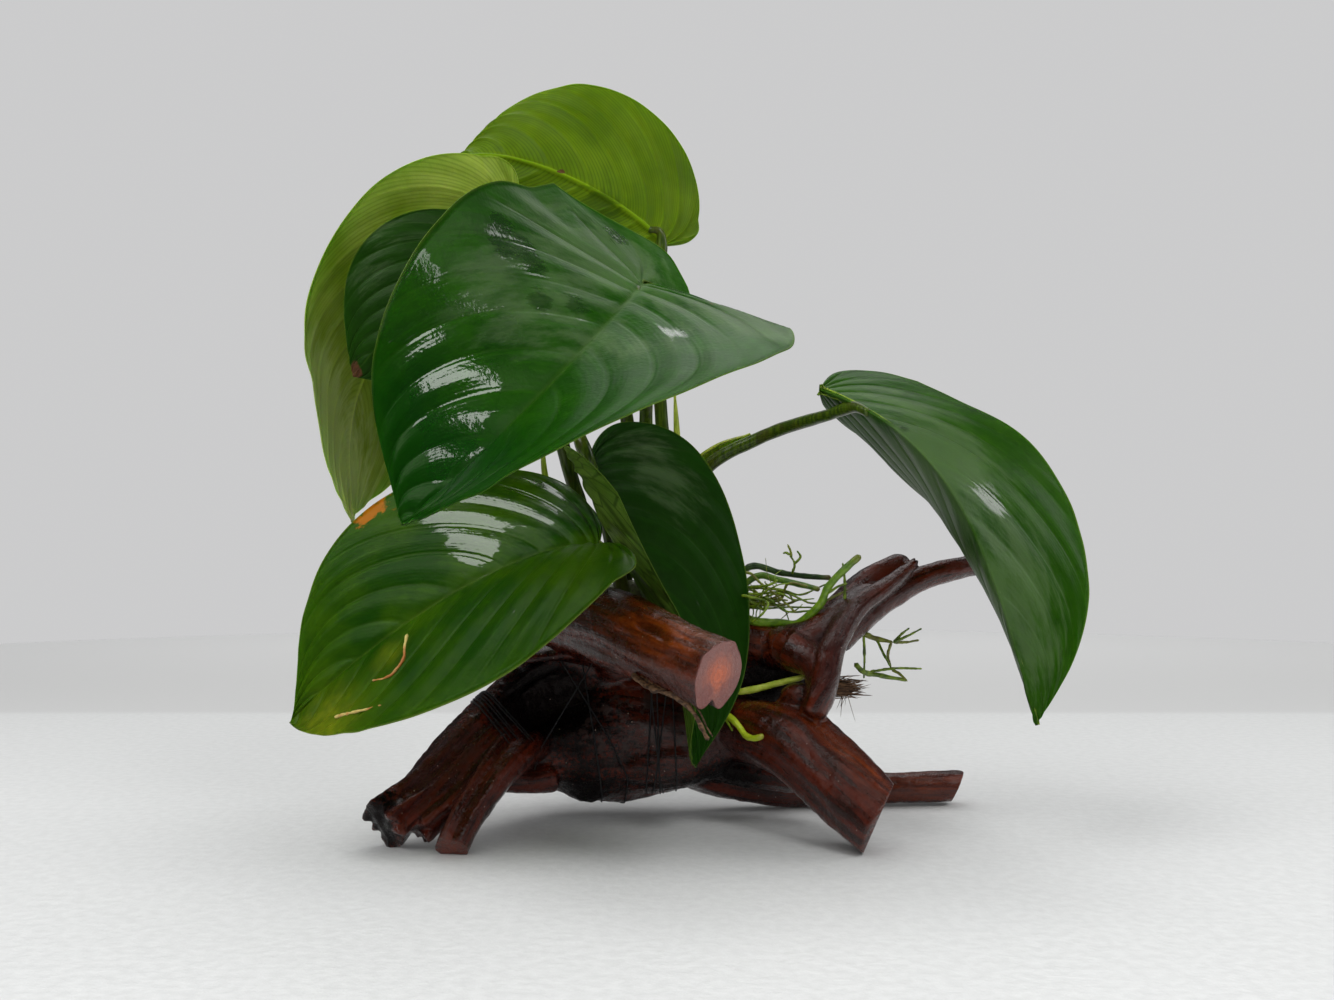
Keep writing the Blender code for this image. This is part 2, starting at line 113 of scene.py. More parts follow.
class Finish:
    """A material under construction: each call adds a node and gives back its output."""

    def __init__(self, name):
        self.material = bpy.data.materials.new(name)
        self.material.use_nodes = True
        self.tree = self.material.node_tree
        self.shader = self.tree.nodes["Principled BSDF"]

    def put(self, socket, value):
        if isinstance(value, bpy.types.NodeSocket):
            self.tree.links.new(value, socket)
        elif isinstance(value, tuple) and len(value) == 3 and socket.type == "RGBA":
            socket.default_value = (*value, 1.0)
        else:
            socket.default_value = value

    def node(self, kind, inputs, **settings):
        made = self.tree.nodes.new("ShaderNode" + kind)
        for key, value in settings.items():
            setattr(made, key, value)
        for key, value in inputs.items():
            self.put(made.inputs[key], value)
        return made

    def math(self, operation, *values):
        return self.node("Math", dict(enumerate(values)), operation=operation).outputs[0]

    def mix(self, share, first, second, blend="MIX"):
        made = self.node("Mix", {0: share, 6: first, 7: second}, data_type="RGBA",
                         blend_type=blend)
        return made.outputs[2]

    def step(self, value, low, high, bottom=0.0, top=1.0):
        """Runs smoothly from bottom to top as value goes from low to high."""
        made = self.node("MapRange", {0: value, 1: low, 2: high, 3: bottom, 4: top},
                         interpolation_type="SMOOTHSTEP")
        return made.outputs[0]

    def field(self, name, output="Fac"):
        return self.node("Attribute", {}, attribute_name=name).outputs[output]

    def place(self, stretch=(1.0, 1.0, 1.0)):
        """The point's own place in millimetres, stretched."""
        own = self.node("TexCoord", {}).outputs["Object"]
        return self.node("Mapping", {"Vector": own, "Scale": tuple(1000 * s for s in stretch)},
                         vector_type="POINT").outputs[0]

    def cloud(self, vector, scale, detail=3.0, rough=0.55):
        made = self.node("TexNoise", {"Vector": vector, "Scale": scale, "Detail": detail,
                                      "Roughness": rough})
        return made.outputs[0]

    def bump(self, height, distance, below=None):
        inputs = {"Height": height, "Distance": distance, "Strength": 1.0}
        if below is not None:
            inputs["Normal"] = below
        return self.node("Bump", inputs).outputs[0]

    def finish(self, **inputs):
        for key, value in inputs.items():
            self.put(self.shader.inputs[key.replace("_", " ")], value)
        return self.material


# Each limb has its line, its radii (level, upright), how deep its grain ridges are, what its far
# end is like, and marks: angle round the limb, height, width in degrees, and from and to along it
# as shares. Angle 90 is the limb's top, and 0 is level, to the left of a limb that comes forward.
# A sawn limb may have its own cut: a point of the plane, its direction and how fresh its colour is.
LIMBS = {
    "trunk": dict(
        line=((-54, 38, 29), (-40, 44, 25), (-20, 47, 25), (0, 47, 23), (18, 52, 29), (32, 53, 34)),
        radii=((9, 8), (15, 17), (16, 21), (16, 15), (11, 13), (7, 8)), ridges=1.3, end="paler_on_bumps",
        rounded=True),
    "bough": dict(
        line=((-30, 40, 45), (-6, 46, 47), (15, 48, 48), (33, 36, 46)),
        radii=((10, 10), (10, 10), (6.5, 6.5), (6, 6)), ridges=0.5, end="paler_on_bumps", rounded=True),
    "front_stub": dict(
        line=((-38, 24, 57.5), (-22, 4, 55.5), (-8, -13, 51), (2, -24, 47.7), (11.4, -34.2, 44.6)),
        radii=((8.6, 9), (9.2, 10), (8.5, 8.8), (8.1, 8.1), (7.9, 7.9)), ridges=0.3, end="sawn",
        cut=((6.0, -28.2, 46.1), (0.74, -0.63, -0.22), 1.0), rounded=True,
        marks=((-76, -2.8, 11, 0.5, 1.1), (-52, 0.9, 12, 0.3, 1.1), (-104, 0.6, 12, 0.3, 1.1),
               (-20, -0.9, 8, 0.1, 0.75), (118, 0.8, 10, 0.2, 1.0), (62, -0.5, 16, 0.35, 0.9),
               (20, -0.7, 20, 0.2, 0.9), (40, 0.5, 9, 0.1, 1.1))),
    "outer_left_leg": dict(
        line=((-44, 38, 32), (-57, 26, 25), (-68, 12, 13), (-77, 3, 5.4)),
        radii=((6, 6), (5, 5), (5.5, 5.5), (7, 7)), ridges=0.9, end="broken",
        marks=((95, 1.0, 11, 0.1, 1.1), (128, -1.0, 10, 0.2, 1.1), (150, 1.0, 9, 0.2, 1.1),
               (172, -1.1, 9, 0.3, 1.1), (196, 1.0, 10, 0.3, 1.1))),
    "left_shoulder": dict(
        line=((-30, 42, 42), (-42, 36, 38), (-52, 30, 32), (-62, 20, 23), (-70, 10, 12.5)),
        radii=((8, 8), (7.5, 7.5), (5.6, 5.6), (4.4, 4.4), (4.2, 4.2)), ridges=0.7, end="broken"),
    "outer_leg_fan": dict(
        line=((-46, 30, 26), (-54, 20, 19), (-62, 11, 11), (-69, 4.5, 5)),
        radii=((7, 7), (6.5, 6.5), (5.6, 5.6), (5.4, 5.4)), ridges=0.8, end="broken",
        marks=((100, 0.9, 10, 0.1, 1.1), (135, -0.9, 9, 0.1, 1.1), (160, 1.0, 8, 0.1, 1.1),
               (185, -0.9, 9, 0.1, 1.1))),
    "inner_left_leg": dict(
        line=((-40, 36, 26), (-48, 18, 19), (-55, 4, 9), (-59, -5, 0.5)),
        radii=((7, 7), (5.5, 5.5), (4.2, 4.2), (3.8, 3.8)), ridges=0.5, end="sawn",
        cut=((-58.2, -4.0, 1.4), (-0.1, -0.75, -0.65), 0.12),
        marks=((75, 1.3, 12, 0.0, 1.1), (105, -0.8, 12, 0.1, 1.0), (140, 0.6, 10, 0.2, 1.0))),
    "left_foot_web": dict(
        line=((-54, 22, 14.5), (-45, 28, 12.5), (-36, 34, 13)),
        radii=((3.2, 3.4), (4, 3.6), (5, 5)), ridges=0.7, end="paler_on_bumps"),
    "right_leg": dict(
        line=((0, 46, 25), (14, 39, 25), (26, 26, 23), (37, 12, 15), (49, -2.6, 6)),
        radii=((9, 9), (9, 9), (9.2, 9.2), (9, 9), (8.8, 8.8)), ridges=0.35, end="sawn",
        cut=((47.5, 1.8, 8.8), (0.889, -0.225, -0.399), 0.15),
        marks=((72, 0.8, 12, 0.4, 1.1), (104, -0.9, 10, 0.45, 1.1), (-8, -0.8, 16, 0.35, 0.85),
               (-34, 0.8, 12, 0.3, 1.1), (35, -0.5, 16, 0.4, 1.0))),
    "right_leg_lip": dict(
        line=((27, 34, 33), (33.5, 25, 26.8), (40, 15.5, 20.2), (46, 7, 14), (50, 1, 9.5)),
        radii=((4, 4), (4.6, 4.6), (5, 5), (5, 5), (4.6, 4.6)), ridges=0.5, end="sawn",
        cut=((47.5, 1.8, 8.8), (0.889, -0.225, -0.399), 0.15)),
    "fork_lump": dict(
        line=((26, 32.5, 33), (29.5, 30.5, 35), (33, 27, 34.5)),
        radii=((3.4, 3.4), (3.6, 3.6), (3.2, 3.2)), ridges=0.3, end="paler_on_bumps", rounded=True),
    "log_shoulder": dict(
        line=((-4, 46, 20), (10, 45, 15.5), (22, 42, 12.5), (33, 42, 9)),
        radii=((8, 8), (6.5, 6.5), (5, 5), (3.6, 3.6)), ridges=0.6, end="paler_on_bumps"),
    "rear_wall": dict(
        line=((12, 50, 36), (24, 48, 39), (34, 43, 42), (37, 36, 45)),
        radii=((9, 9), (8, 8), (6, 6), (4, 4)), ridges=0.6, end="paler_on_bumps"),
    "rear_log": dict(
        line=((-6, 49.5, 15.5), (10, 53, 8.5), (30, 55, 4.8), (54, 58, 4.8), (81, 59.5, 5.2)),
        radii=((6, 6), (5.5, 5.5), (4.6, 4.6), (4.6, 4.6), (4.6, 4.6)), ridges=0.4, end="sawn",
        cut=((78.8, 59, 5), (0.9, -0.1, -0.42), 0.2)),
    "twisted_fork": dict(
        line=((32.5, 21.5, 30.2), (36, 22, 39), (38.5, 24, 48), (45, 28, 58), (55, 32, 65),
              (63, 35, 71)),
        radii=((3.6, 3.6), (3.9, 3.8), (3.7, 3.8), (3.6, 3.2), (3.4, 2.6), (1.8, 1.5)), ridges=0.4,
        end="broken", rounded=True,
        marks=((20, 0.5, 12, 0.2, 1.0), (200, 0.5, 12, 0.1, 0.9), (300, -0.4, 20, 0.2, 0.9))),
    "fork_root": dict(
        line=((29, 33, 47), (34, 27.5, 44), (35.5, 24.5, 37), (31.5, 23.5, 29)),
        radii=((6, 6), (5, 5), (4.2, 4.2), (3.6, 3.6)), ridges=0.4, end="paler_on_bumps"),
    "fork_web": dict(
        line=((26, 40, 47), (34, 34, 50), (43, 32, 57), (52, 36, 64)),
        radii=((6, 6), (5.6, 6), (4.6, 4.6), (3.2, 3.2)), ridges=0.4, end="paler_on_bumps"),
    "long_branch": dict(
        line=((41, 33, 50), (55, 37, 61), (70, 40, 68), (92, 43, 72)),
        radii=((4, 4), (3.8, 3.8), (3.3, 3.3), (2.4, 2.4)), ridges=0.3, end="paler_on_bumps"),
    "rear_stub": dict(
        line=((36, 40, 50), (50, 43, 64), (63, 45, 71.5)),
        radii=((5, 5), (4.5, 4.5), (3.2, 3.2)), ridges=0.3, end="paler_on_bumps"),
    "flat_branch": dict(
        line=((-24, 40, 46), (-40, 31, 44.5), (-56, 26, 44.5)),
        radii=((7, 5), (6, 4.2), (4, 3.2)), ridges=0.4, end="paler_on_bumps"),
}


def limb_frame(limb):
    """Even stations along a limb: distance, centre, radii, and its along, level and up directions."""
    run, rows = through(np.hstack([limb["line"], limb["radii"]]), WOOD_SPACING)
    along = unit(np.gradient(rows[:, :3], axis=0))
    level = unit(np.cross(along, (0.0, 0.0, 1.0)))
    return run, rows[:, :3], rows[:, 3:], along, level, np.cross(level, along)


def limb_shape(limb, seed):
    run, centres, radii, along, level, up = limb_frame(limb)
    angles = 2 * pi * np.arange(WOOD_SIDES) / WOOD_SIDES
    s, a = np.meshgrid(run, angles, indexing="ij")
    mean = radii.mean()
    round_it = np.stack([mean * np.cos(a), mean * np.sin(a), s * GRAIN_STRETCH * 1.6], axis=-1)
    lumps = np.stack([mean * np.cos(a), mean * np.sin(a), s * 0.7], axis=-1)
    height = (limb["ridges"] * (0.8 * noise(round_it, 4.2, seed) + 0.4 * noise(round_it, 1.9, seed + 5))
              + 0.07 * mean * limb["ridges"] * noise(round_it, 9.0, seed + 3)
              + 0.05 * mean * noise(lumps, 9.0, seed + 9))
    for angle, rise, width, first, last in limb.get("marks", ()):
        wander = 9 * noise(lumps * (0, 0, 1), 12.0, seed + angle % 7)
        off = (np.degrees(a) - angle + wander + 180) % 360 - 180
        share = s / run[-1]
        ends = np.clip((share - first) / 0.12, 0, 1) * np.clip((last - share) / 0.12, 0, 1)
        height += rise * ends * np.exp(-(off / width) ** 2)
    left = run[-1] - run
    scale = np.ones(len(run))
    if limb.get("rounded"):
        near = np.clip(run / (0.8 * mean), 0, 1)
        scale *= np.sqrt(np.clip(1 - (1 - near) ** 2, 0.01, 1))
    if limb["end"] == "paler_on_bumps":
        near = np.clip(left / (0.8 * mean), 0, 1)
        scale *= np.sqrt(np.clip(1 - (1 - near) ** 2, 0.01, 1))
    reach = radii[:, None, 0] * scale[:, None] + height * scale[:, None]
    rise = radii[:, None, 1] * scale[:, None] + height * scale[:, None]
    points = (centres[:, None] + level[:, None] * (reach * np.cos(a))[..., None]
              + up[:, None] * (rise * np.sin(a))[..., None])
    if limb["end"] == "broken":
        torn = np.clip(1 - left / 5.0, 0, 1)[:, None] * 2.2 * noise(round_it * (1, 1, 0), 1.6, seed)
        points += along[:, None] * torn[..., None]
    points = np.vstack([points.reshape(-1, 3), centres[0], centres[-1]])
    return points, tube_faces(len(run), WOOD_SIDES)


def tube_faces(rings, sides):
    """Faces of a tube whose last two points are the middles of its ends."""
    index = np.arange(rings * sides).reshape(rings, sides)
    turned = np.roll(index, -1, axis=1)
    quads = np.stack([index[:-1], turned[:-1], turned[1:], index[1:]], axis=-1).reshape(-1, 4)
    first = np.full(sides, rings * sides)
    ends = [np.stack([turned[0], index[0], first], axis=-1),
            np.stack([index[-1], turned[-1], first + 1], axis=-1)]
    return quads.tolist() + np.vstack(ends).tolist()


def joined(shapes):
    """Several (points, faces) as one, with the number of the shape that each point is from."""
    points, faces, owner, start = [], [], [], 0
    for number, (some, own_faces) in enumerate(shapes):
        points.append(some)
        faces.extend([[corner + start for corner in face] for face in own_faces])
        owner.append(np.full(len(some), number))
        start += len(some)
    return np.vstack(points), faces, np.concatenate(owner)


def grown_together(shapes, voxel, smoothings):
    """The shapes as one skin, evenly meshed: its points, faces and normals."""
    points, faces, _ = joined(shapes)
    mesh = bpy.data.meshes.new("growing")
    mesh.from_pydata(points.tolist(), [], faces)
    rough = bpy.data.objects.new("growing", mesh)
    bpy.context.collection.objects.link(rough)
    skin = rough.modifiers.new("skin", "REMESH")
    skin.mode = "VOXEL"
    skin.voxel_size = voxel
    relax = rough.modifiers.new("relax", "SMOOTH")
    relax.factor = 0.5
    relax.iterations = smoothings
    whole = rough.evaluated_get(bpy.context.evaluated_depsgraph_get()).to_mesh()
    places = np.empty(len(whole.vertices) * 3)
    normals = np.empty(len(whole.vertices) * 3, np.float32)
    whole.vertices.foreach_get("co", places)
    whole.vertex_normals.foreach_get("vector", normals)
    faces = [list(face.vertices) for face in whole.polygons]
    edges = np.array([edge.vertices[:] for edge in whole.edges])
    bpy.data.objects.remove(rough, do_unlink=True)
    return places.reshape(-1, 3), faces, normals.reshape(-1, 3).astype(float), edges


def spread(values, edges, times):
    """Each point's value averaged with its neighbours', several times over."""
    count = np.bincount(edges.ravel(), minlength=len(values)).astype(float)
    for _ in range(times):
        total = np.zeros_like(values)
        np.add.at(total, edges[:, 0], values[edges[:, 1]])
        np.add.at(total, edges[:, 1], values[edges[:, 0]])
        values = total / (count[:, None] if values.ndim == 2 else count)
    return values


def nearness(points, centre, size, along=(0.0, 0.0, 1.0), stretch=1.0):
    """1 at the centre, falling off smoothly past size; stretch makes it longer one way."""
    offset = points - np.array(centre, float)
    way = unit(np.array(along, float))
    length = offset @ way
    across = np.linalg.norm(offset - length[:, None] * way, axis=1)
    return np.exp(-((length / (size * stretch)) ** 2 + (across / size) ** 2))


# Hollows and bosses: middle, radius, depth (inwards is negative), direction and stretch
STUB_WAY = (0.62, -0.75, -0.21)
LEG_WAY = (0.57, -0.69, -0.46)
SCULPTED = (
    ((-10.0, -18.4, 56.6), 1.7, -1.4, STUB_WAY, 2.8),
    ((-6.5, -23.5, 54.6), 1.2, -1.0, STUB_WAY, 2.2),
    ((-14.5, -11.5, 59.0), 1.5, 0.7, STUB_WAY, 3.0),
    ((-39.4, 28.0, 35.5), 7.5, -9.0, (1, 0, 0.2), 1.35),
    ((-31.0, 31.0, 36.0), 5.0, -5.0, (0, 0, 1), 1.4),
    ((-28.0, 37.5, 7.0), 3.6, 3.2, (1, 0, -0.3), 1.5),
    ((-12.0, 31.0, 20.0), 3.0, -1.4, (1, 0, 0.4), 2.0),
    ((-20.0, 31.0, 14.0), 3.0, 1.3, (1, 0, 0.2), 2.4),
    ((-2.0, 33.0, 22.0), 3.5, -1.7, (0.4, 0, 1), 1.8),
    ((6.0, 34.0, 17.0), 3.0, -1.6, (1, 0, 0.2), 2.0),
    ((30.5, 31.5, 47.0), 3.2, 1.0, (1, 0, 0.3), 1.2),
    ((30.8, 30.5, 46.8), 1.8, -1.3, (1, 0, 0.3), 1.3),
    ((20.0, 37.0, 44.0), 1.5, -0.7, (0.3, 0, 1), 2.4),
    ((14.0, 36.5, 30.0), 4.0, -1.6, (1, -0.2, 0.2), 1.5),
    ((-67.5, 6.5, 16.0), 1.8, -1.0, (-0.6, -0.6, -0.5), 3.0),
)
# Where upper faces are painted orange as lit (painted light), where the wood is black, partly soaked and partly painted
# shade in and under the trunk, where a purplish painted sheen lies on it, and where old bark is left
LIT_ORANGE = (
    ((-9.0, -18.0, 57.0), 8.0, 1.0, STUB_WAY, 1.8),
    ((1.0, -26.5, 53.0), 5.0, 0.7, STUB_WAY, 1.4),
    ((43.5, 4.5, 18.0), 3.6, 1.0, LEG_WAY, 4.2),
    ((33.0, 19.0, 28.0), 3.6, 0.7, LEG_WAY, 1.8),
    ((20.0, 30.0, 32.0), 6.0, 0.35, (1, -0.5, 0.1), 1.4),
    ((22.0, 37.0, 50.0), 5.0, 0.4, (1, 0, 0), 1.2),
    ((64.0, 55.0, 6.0), 7.0, 0.45, (1, 0, 0), 2.0),
)
# Black: partly soaked wood, partly painted shade in the trunk's hollow, under it and in the gap behind
DARK = (
    ((-40.0, 32.0, 35.0), 12.0, 1.2, (1, 0, 0), 1.15),
    ((-26.0, 33.0, 26.0), 14.0, 0.65, (1, 0, 0.2), 1.4),
    ((-2.0, 38.0, 12.0), 9.0, 0.8, (1, 0, 0), 2.6),
    ((-29.0, 37.0, 8.0), 9.0, 0.9, (1, 0, 0), 1.0),
    ((-60.0, 22.0, 26.0), 8.0, 0.55, (-0.6, -0.6, -0.5), 1.8),
    ((-77.0, 3.0, 7.0), 6.0, 1.5, (0, 0, 1), 1.4),
    ((-31.0, 14.0, 47.0), 8.0, 0.7, STUB_WAY, 1.6),
    ((24.0, 43.0, 37.0), 9.0, 1.5, (1, 0, 0), 1.5),
    ((32.0, 28.0, 35.0), 4.0, 0.9, (0.2, 0, 1), 1.4),
    ((10.0, 42.0, 12.0), 7.0, 0.8, (1, 0, -0.2), 2.4),
    ((63.0, 35.0, 71.0), 2.6, 0.9, (1, 0, 0), 1.0),
)
# Painted sheen: where the wet wood shows a dull purplish reflection
PURPLE_SHEEN = (
    ((38.0, 24.0, 44.0), 8.0, 1.0, (0.1, 0, 1), 2.2),
    ((52.0, 32.0, 62.0), 8.0, 1.0, (0.8, 0, 0.5), 2.0),
    ((25.0, 22.0, 17.0), 7.0, 0.9, LEG_WAY, 2.4),
    ((-8.0, -22.0, 46.5), 4.6, 1.0, STUB_WAY, 4.0),
    ((-44.0, 30.0, 43.0), 8.0, 0.9, (1, 0, 0), 1.4),
    ((-66.0, 14.0, 18.0), 9.0, 0.9, (-0.6, -0.6, -0.5), 2.0),
    ((-57.0, 4.0, 10.0), 5.0, 0.6, (-0.4, -0.8, -0.5), 2.0),
    ((-20.0, 32.0, 28.0), 12.0, 0.5, (1, 0, 0), 1.2),
    ((4.0, 33.0, 24.0), 8.0, 0.8, (1, 0, 0), 1.2),
)
BARK = (
    ((-18.0, 32.0, 27.0), 9.0, 1.0, (1, 0, 0.3), 1.5),
    ((-1.0, 31.0, 27.0), 6.0, 0.6, (0, 0, 1), 1.5),
)


def wood_piece(name, limbs, slot, smoothings=4):
    frames = [limb_frame(LIMBS[limb]) for limb in limbs]
    shapes = [limb_shape(LIMBS[limb], seed) for seed, limb in enumerate(limbs)]
    points, faces, normals, edges = grown_together(shapes, WOOD_VOXEL, smoothings)
    for middle, size, depth, way, stretch in SCULPTED:
        points += normals * (depth * nearness(points, middle, size, way, stretch))[:, None]
    rugged = sum(a * nearness(points, m, r, w, k) for m, r, a, w, k in DARK).clip(0, 1)
    points += normals * (0.14 * noise(points, 2.6, 3) + 0.08 * noise(points, 1.3, 4)
                         + rugged * (0.35 * noise(points, 3.0, 5) + 0.3 * noise(points, 1.5, 6)))[:, None]
    points[:, 2] = np.maximum(points[:, 2], 0.0)
    centres = np.vstack([f[1] for f in frames])
    widths = np.concatenate([f[2].mean(axis=1) for f in frames])
    nearest = np.empty(len(points), int)
    for start in range(0, len(points), 4000):
        some = points[start:start + 4000, None] - centres[None]
        nearest[start:start + 4000] = (np.linalg.norm(some, axis=2) / widths).argmin(axis=1)
    run, along, level, up = (np.concatenate([f[i] for f in frames]) for i in (0, 3, 4, 5))
    owner = np.concatenate([np.full(len(f[0]), i) for i, f in enumerate(frames)])[nearest]
    length = np.array([f[0][-1] for f in frames])[owner]
    offset = points - centres[nearest]
    reach = np.linalg.norm(offset, axis=1)
    x = (offset * level[nearest]).sum(axis=1)
    y = (offset * up[nearest]).sum(axis=1)
    grain = np.stack([x + owner * 31.0, y, run[nearest] * GRAIN_STRETCH], axis=1)
    cut = np.zeros(len(points))
    for number, limb in enumerate(limbs):
        if "cut" not in LIMBS[limb]:
            continue
        spot, way, fresh = LIMBS[limb]["cut"]
        way = unit(np.array(way, float))
        past = (points - np.array(spot)) @ way
        end_way = frames[number][3][-1]
        near = (owner == number) & (length - run[nearest] < 14)
        shift = np.where(near & (past > 0), past, 0) / (end_way @ way)
        points -= end_way * shift[:, None]
        cut += near * fresh * np.clip((past + 0.35) / 0.3, 0, 1)
    hollow = ((spread(points, edges, 14) - points) * normals).sum(axis=1)
    tints = {key: sum(a * nearness(points, m, r, w, s) for m, r, a, w, s in spots)
             for key, spots in (("lit_orange", LIT_ORANGE), ("dark", DARK), ("purple_sheen", PURPLE_SHEEN), ("bark", BARK))}
    add_piece(name, points, faces, wet_wood, slot, [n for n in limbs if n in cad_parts],
              grain=grain, cut=cut, hollow=hollow, ring=reach, **tints)
    return points, faces


def wood_finish():
    """Wet red-brown wood: streaked along its grain, with painted shade in its hollows, painted lit orange, a painted
    purplish sheen and painted glints, and pink on a saw cut.
    """
    wood = Finish("wet_driftwood")
    grain = wood.field("grain", "Vector")
    place = wood.place()
    streaks = wood.cloud(grain, 0.55, 5.0, 0.6)
    fine = wood.cloud(grain, 2.6, 4.0, 0.65)
    patches = wood.cloud(place, 0.11, 3.0)
    speckle = wood.cloud(place, 0.9, 5.0, 0.7)
    colour = wood.mix(wood.step(streaks, 0.35, 0.66), (0.014, 0.0020, 0.0009), (0.080, 0.0090, 0.0022))
    # Painted sheen: purplish grey where the wet wood gives a dull reflection, with a few random patches
    sheen_mask = wood.math("ADD", wood.field("purple_sheen"), wood.step(patches, 0.4, 0.65, -0.3, 0.2))
    purple_sheen = wood.mix(wood.step(fine, 0.35, 0.65), (0.020, 0.0062, 0.0055), (0.052, 0.016, 0.0135))
    colour = wood.mix(wood.step(sheen_mask, 0.1, 0.9, 0.0, 0.9), colour, purple_sheen)
    # Painted light: orange where upper faces catch the light, streaked with the grain
    lit_orange = wood.math("MULTIPLY", wood.field("lit_orange"), wood.step(fine, 0.3, 0.62, 0.55, 1.0))
    lit_orange_colour = wood.mix(wood.step(streaks, 0.4, 0.66), (0.075, 0.011, 0.002), (0.21, 0.040, 0.004))
    colour = wood.mix(wood.math("MINIMUM", lit_orange, 1.0), colour, lit_orange_colour)
    colour = wood.mix(wood.step(fine, 0.60, 0.74, 0.0, 0.5), colour, (0.006, 0.002, 0.0015))
    # Painted shade and soaked wood: near black where the wood lies in shade, broken by speckle
    soaked_and_shaded = wood.field("dark")
    ragged = wood.math("ADD", soaked_and_shaded, wood.step(speckle, 0.35, 0.65, -0.35, 0.15))
    colour = wood.mix(wood.step(ragged, 0.25, 0.8), colour, (0.0022, 0.0016, 0.0017))
    bark = wood.math("MULTIPLY", wood.field("bark"), wood.step(wood.cloud(place, 0.30, 5.0, 0.65), 0.48, 0.56))
    colour = wood.mix(wood.step(bark, 0.2, 0.6, 0.0, 0.85), colour, (0.030, 0.018, 0.016))
    # Painted shade: near black in the hollows of the surface
    colour = wood.mix(wood.step(wood.field("hollow"), 0.1, 0.9, 0.0, 0.85), colour, (0.004, 0.002, 0.002))
    # Paler on bumps that stand out, away from the black places
    paler_on_bumps = wood.math("MULTIPLY", wood.step(wood.field("hollow"), -0.25, -0.7, 0.0, 0.3), wood.step(soaked_and_shaded, 0.5, 0.1))
    colour = wood.mix(paler_on_bumps, colour, (0.11, 0.045, 0.035))
    # Painted glints: small pale specks, more of them on the old bark, that stand for wet glints
    glint_cells = wood.node("TexVoronoi", {"Vector": place, "Scale": 0.6, "Randomness": 1.0})
    kind = wood.node("SeparateColor", {0: glint_cells.outputs["Color"]}).outputs[0]
    painted_glints = wood.math("MULTIPLY", wood.step(glint_cells.outputs["Distance"], 0.12, 0.06),
                      wood.math("GREATER_THAN", wood.math("ADD", kind, wood.math("MULTIPLY", wood.field("bark"), 0.4)), 0.88))
    colour = wood.mix(wood.math("MULTIPLY", painted_glints, 0.6), colour, (0.42, 0.33, 0.27))
    away = wood.math("ADD", wood.field("ring"), wood.math("MULTIPLY", streaks, 2.5))
    ring = wood.math("SINE", wood.math("MULTIPLY", away, 4.5))
    sawn = wood.mix(wood.step(away, 1.5, 8.0), (0.50, 0.105, 0.035), (0.20, 0.075, 0.062))
    sawn = wood.mix(wood.step(ring, -0.4, 0.9, 0.0, 0.25), sawn, (0.16, 0.04, 0.03))
    sawn = wood.mix(wood.step(wood.cloud(place, 0.22, 4.0), 0.48, 0.62, 0.0, 0.8), sawn, (0.17, 0.05, 0.042))
    colour = wood.mix(wood.field("cut"), colour, sawn)
    rough = wood.step(wood.cloud(place, 0.8, 4.0), 0.35, 0.7, 0.2, 0.42)
    lines = wood.bump(fine, 0.00014)
    pits = wood.bump(speckle, 0.00022, lines)
    return wood.finish(Base_Color=colour, Roughness=rough, Normal=pits, Specular_IOR_Level=0.08,
                       Specular_Tint=(1.0, 0.75, 0.7), Coat_Weight=wood.step(soaked_and_shaded, 0.35, 0.9, 0.85, 0.12),
                       Coat_Roughness=0.06, Coat_Normal=wood.bump(wood.cloud(place, 0.7, 4.0, 0.6), 0.00026, lines))


wet_wood = wood_finish()
WHOLE_LIMBS = [limb for limb in LIMBS if limb != "flat_branch"]
wood_points, wood_faces = wood_piece("driftwood", WHOLE_LIMBS, "wood_wet_red")
wood_piece("flat_branch_wood", ["flat_branch"], "wood_dark")

# Splinter and torn fibres
# A strip of bark that has come away from the front stub's underside, and the tuft of fibres where
# a limb was torn off behind the fork. Both are the wood's own, still fast at one end.


def tube(line, radii, sides, lump=0.0, seed=0):
    """A closed round tube along a line of points, uneven by lump."""
    line = np.asarray(line, float)
    along = unit(np.gradient(line, axis=0))
    side = np.empty_like(line)
    side[0] = unit(np.cross(along[0], (0.31, 0.22, 0.93)))
    for index in range(1, len(line)):
        side[index] = unit(side[index - 1] - along[index] * (side[index - 1] @ along[index]))
    up = np.cross(along, side)
    angles = 2 * pi * np.arange(sides) / sides
    ring = (side[:, None] * np.cos(angles)[None, :, None] + up[:, None] * np.sin(angles)[None, :, None])
    size = np.broadcast_to(radii, len(line)).astype(float)[:, None]
    size = size * (1 + lump * noise(line[:, None] + ring * size[..., None], 1.6 * size.mean() + 0.2, seed))
    points = (line[:, None] + ring * size[..., None]).reshape(-1, 3)
    return np.vstack([points, line[0], line[-1]]), tube_faces(len(line), sides)


def strand(points, radius, tip=0.4, sides=8, lump=0.0, seed=0, spacing=None):
    """A tube through a few points that thins to tip times its radius, with rounded ends."""
    run, line = through(points, spacing or max(radius * 0.7, 0.25))
    share = run / run[-1]
    radii = radius * (1 + (tip - 1) * share ** 1.5)
    ends = np.minimum(run, run[-1] - run) / (radii + 1e-6)
    radii = radii * np.sqrt(np.clip(1 - (1 - np.clip(ends, 0, 1)) ** 2, 0.02, 1))
    return tube(line, radii, sides, lump, seed)


SPLINTER = ((-14, -16, 45.5), (-9.5, -21, 42.8), (-4, -25.5, 41.5), (0.2, -27.5, 38.2), (2.4, -27.6, 34.0),
            (3.8, -27.0, 31.6))
SHREDS = 150
TUFT_ROOT = np.array((38.0, 31.5, 36.6))
TUFT_WAY = np.array((0.96, 0.24, 0.06))


